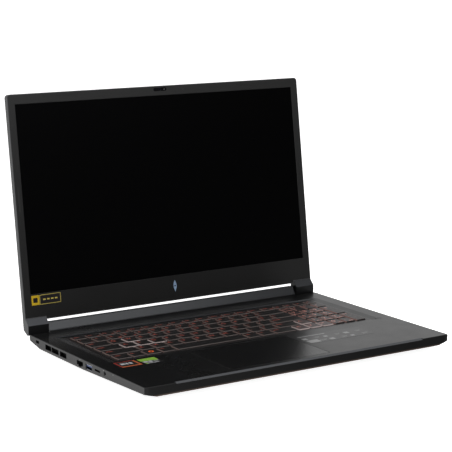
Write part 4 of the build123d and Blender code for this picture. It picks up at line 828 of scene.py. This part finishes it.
def make_floor():
    """A plain pale floor, near white to the camera and dimmer to the reflections in the object."""
    mesh = bpy.data.meshes.new("floor")
    mesh.from_pydata([(-FLOOR_REACH, -FLOOR_REACH, 0), (FLOOR_REACH, -FLOOR_REACH, 0),
                      (FLOOR_REACH, FLOOR_REACH, 0), (-FLOOR_REACH, FLOOR_REACH, 0)], [], [(0, 1, 2, 3)])
    floor = bpy.data.objects.new("floor", mesh)
    bpy.context.scene.collection.objects.link(floor)
    shader = Shader("floor_paint")
    shader.set(Roughness=0.9, Emission_Color=(1, 1, 1, 1), Specular_IOR_Level=0.1)
    beside = shader.ramp(shader.along((-1.0, 0.0, 0.0)), 0.0, 0.69, 0.17, 0.24)
    fading = shader.ramp(shader.along((0.0, 1.0, 0.0)), 1.5, 0.8, FRONT, -FRONT)
    before = shader.ramp(shader.along((-0.6, 0.8, 0.0)), 0.06, 0.52, -0.25, 0.15)
    mirrored = shader.maths("ADD", shader.maths("MULTIPLY", beside, fading), before)
    seen = shader.tree.nodes.new("ShaderNodeLightPath").outputs["Is Camera Ray"]
    shader.to(shader.mix(seen, (0.25, 0.25, 0.25), (0.86, 0.86, 0.86)), "Base Color")
    shader.to(shader.maths("MAXIMUM", shader.maths("MULTIPLY", seen, 0.95), mirrored), "Emission Strength")
    mesh.materials.append(shader.material)


def make_world():
    """White to the camera; to reflections, bright behind the object and dark in front of it."""
    world = bpy.data.worlds.new("studio")
    bpy.context.scene.world = world
    world.use_nodes = True
    tree = world.node_tree
    background = tree.nodes["Background"]
    coords = tree.nodes.new("ShaderNodeTexCoord")
    split = tree.nodes.new("ShaderNodeSeparateXYZ")
    tree.links.new(coords.outputs["Generated"], split.inputs[0])
    ramp = tree.nodes.new("ShaderNodeMapRange")
    ramp.interpolation_type = "SMOOTHSTEP"
    ramp.inputs["From Min"].default_value = -0.15
    ramp.inputs["From Max"].default_value = 0.55
    ramp.inputs["To Min"].default_value = 0.03
    ramp.inputs["To Max"].default_value = 0.88
    tree.links.new(split.outputs["Y"], ramp.inputs["Value"])
    seen = tree.nodes.new("ShaderNodeLightPath")
    most = tree.nodes.new("ShaderNodeMath")
    most.operation = "MAXIMUM"
    tree.links.new(seen.outputs["Is Camera Ray"], most.inputs[0])
    tree.links.new(ramp.outputs["Result"], most.inputs[1])
    tree.links.new(most.outputs[0], background.inputs["Strength"])
    background.inputs["Color"].default_value = (1, 1, 1, 1)


def make_light(name, place, aim, size, radiance):
    """A rectangular soft light of a given radiance."""
    data = bpy.data.lights.new(name, "AREA")
    data.shape = "RECTANGLE"
    data.size, data.size_y = size
    data.energy = radiance * math.pi * size[0] * size[1]
    light = bpy.data.objects.new(name, data)
    bpy.context.scene.collection.objects.link(light)
    turn = (Vector(aim) - Vector(place)).to_track_quat("-Z", "Y").to_matrix().to_4x4()
    light.matrix_world = Matrix.Translation(place) @ turn


def make_lights():
    """A soft box above the front, and a dim one above the rear."""
    make_light("front_softbox", (-0.05, -1.35, 1.55), (0, 0, 0.1), (2.8, 1.4), 2.6)
    make_light("top_softbox", (0.0, 0.4, 2.6), (0, 0, 0), (2.4, 1.6), 0.6)


make_camera()
finish_nodes()
make_legends()
make_hot_key()
make_skirts()
make_palm_labels()
make_bezel_label()
make_socket_details()
make_network_contacts()
make_camera_ring()
make_side_symbols()
make_bottom_label()
make_lid_mark()
make_touch_seam()
make_corner_shade_ring()
make_floor()
make_world()
make_lights()
bpy.context.scene.view_settings.view_transform = "Standard"
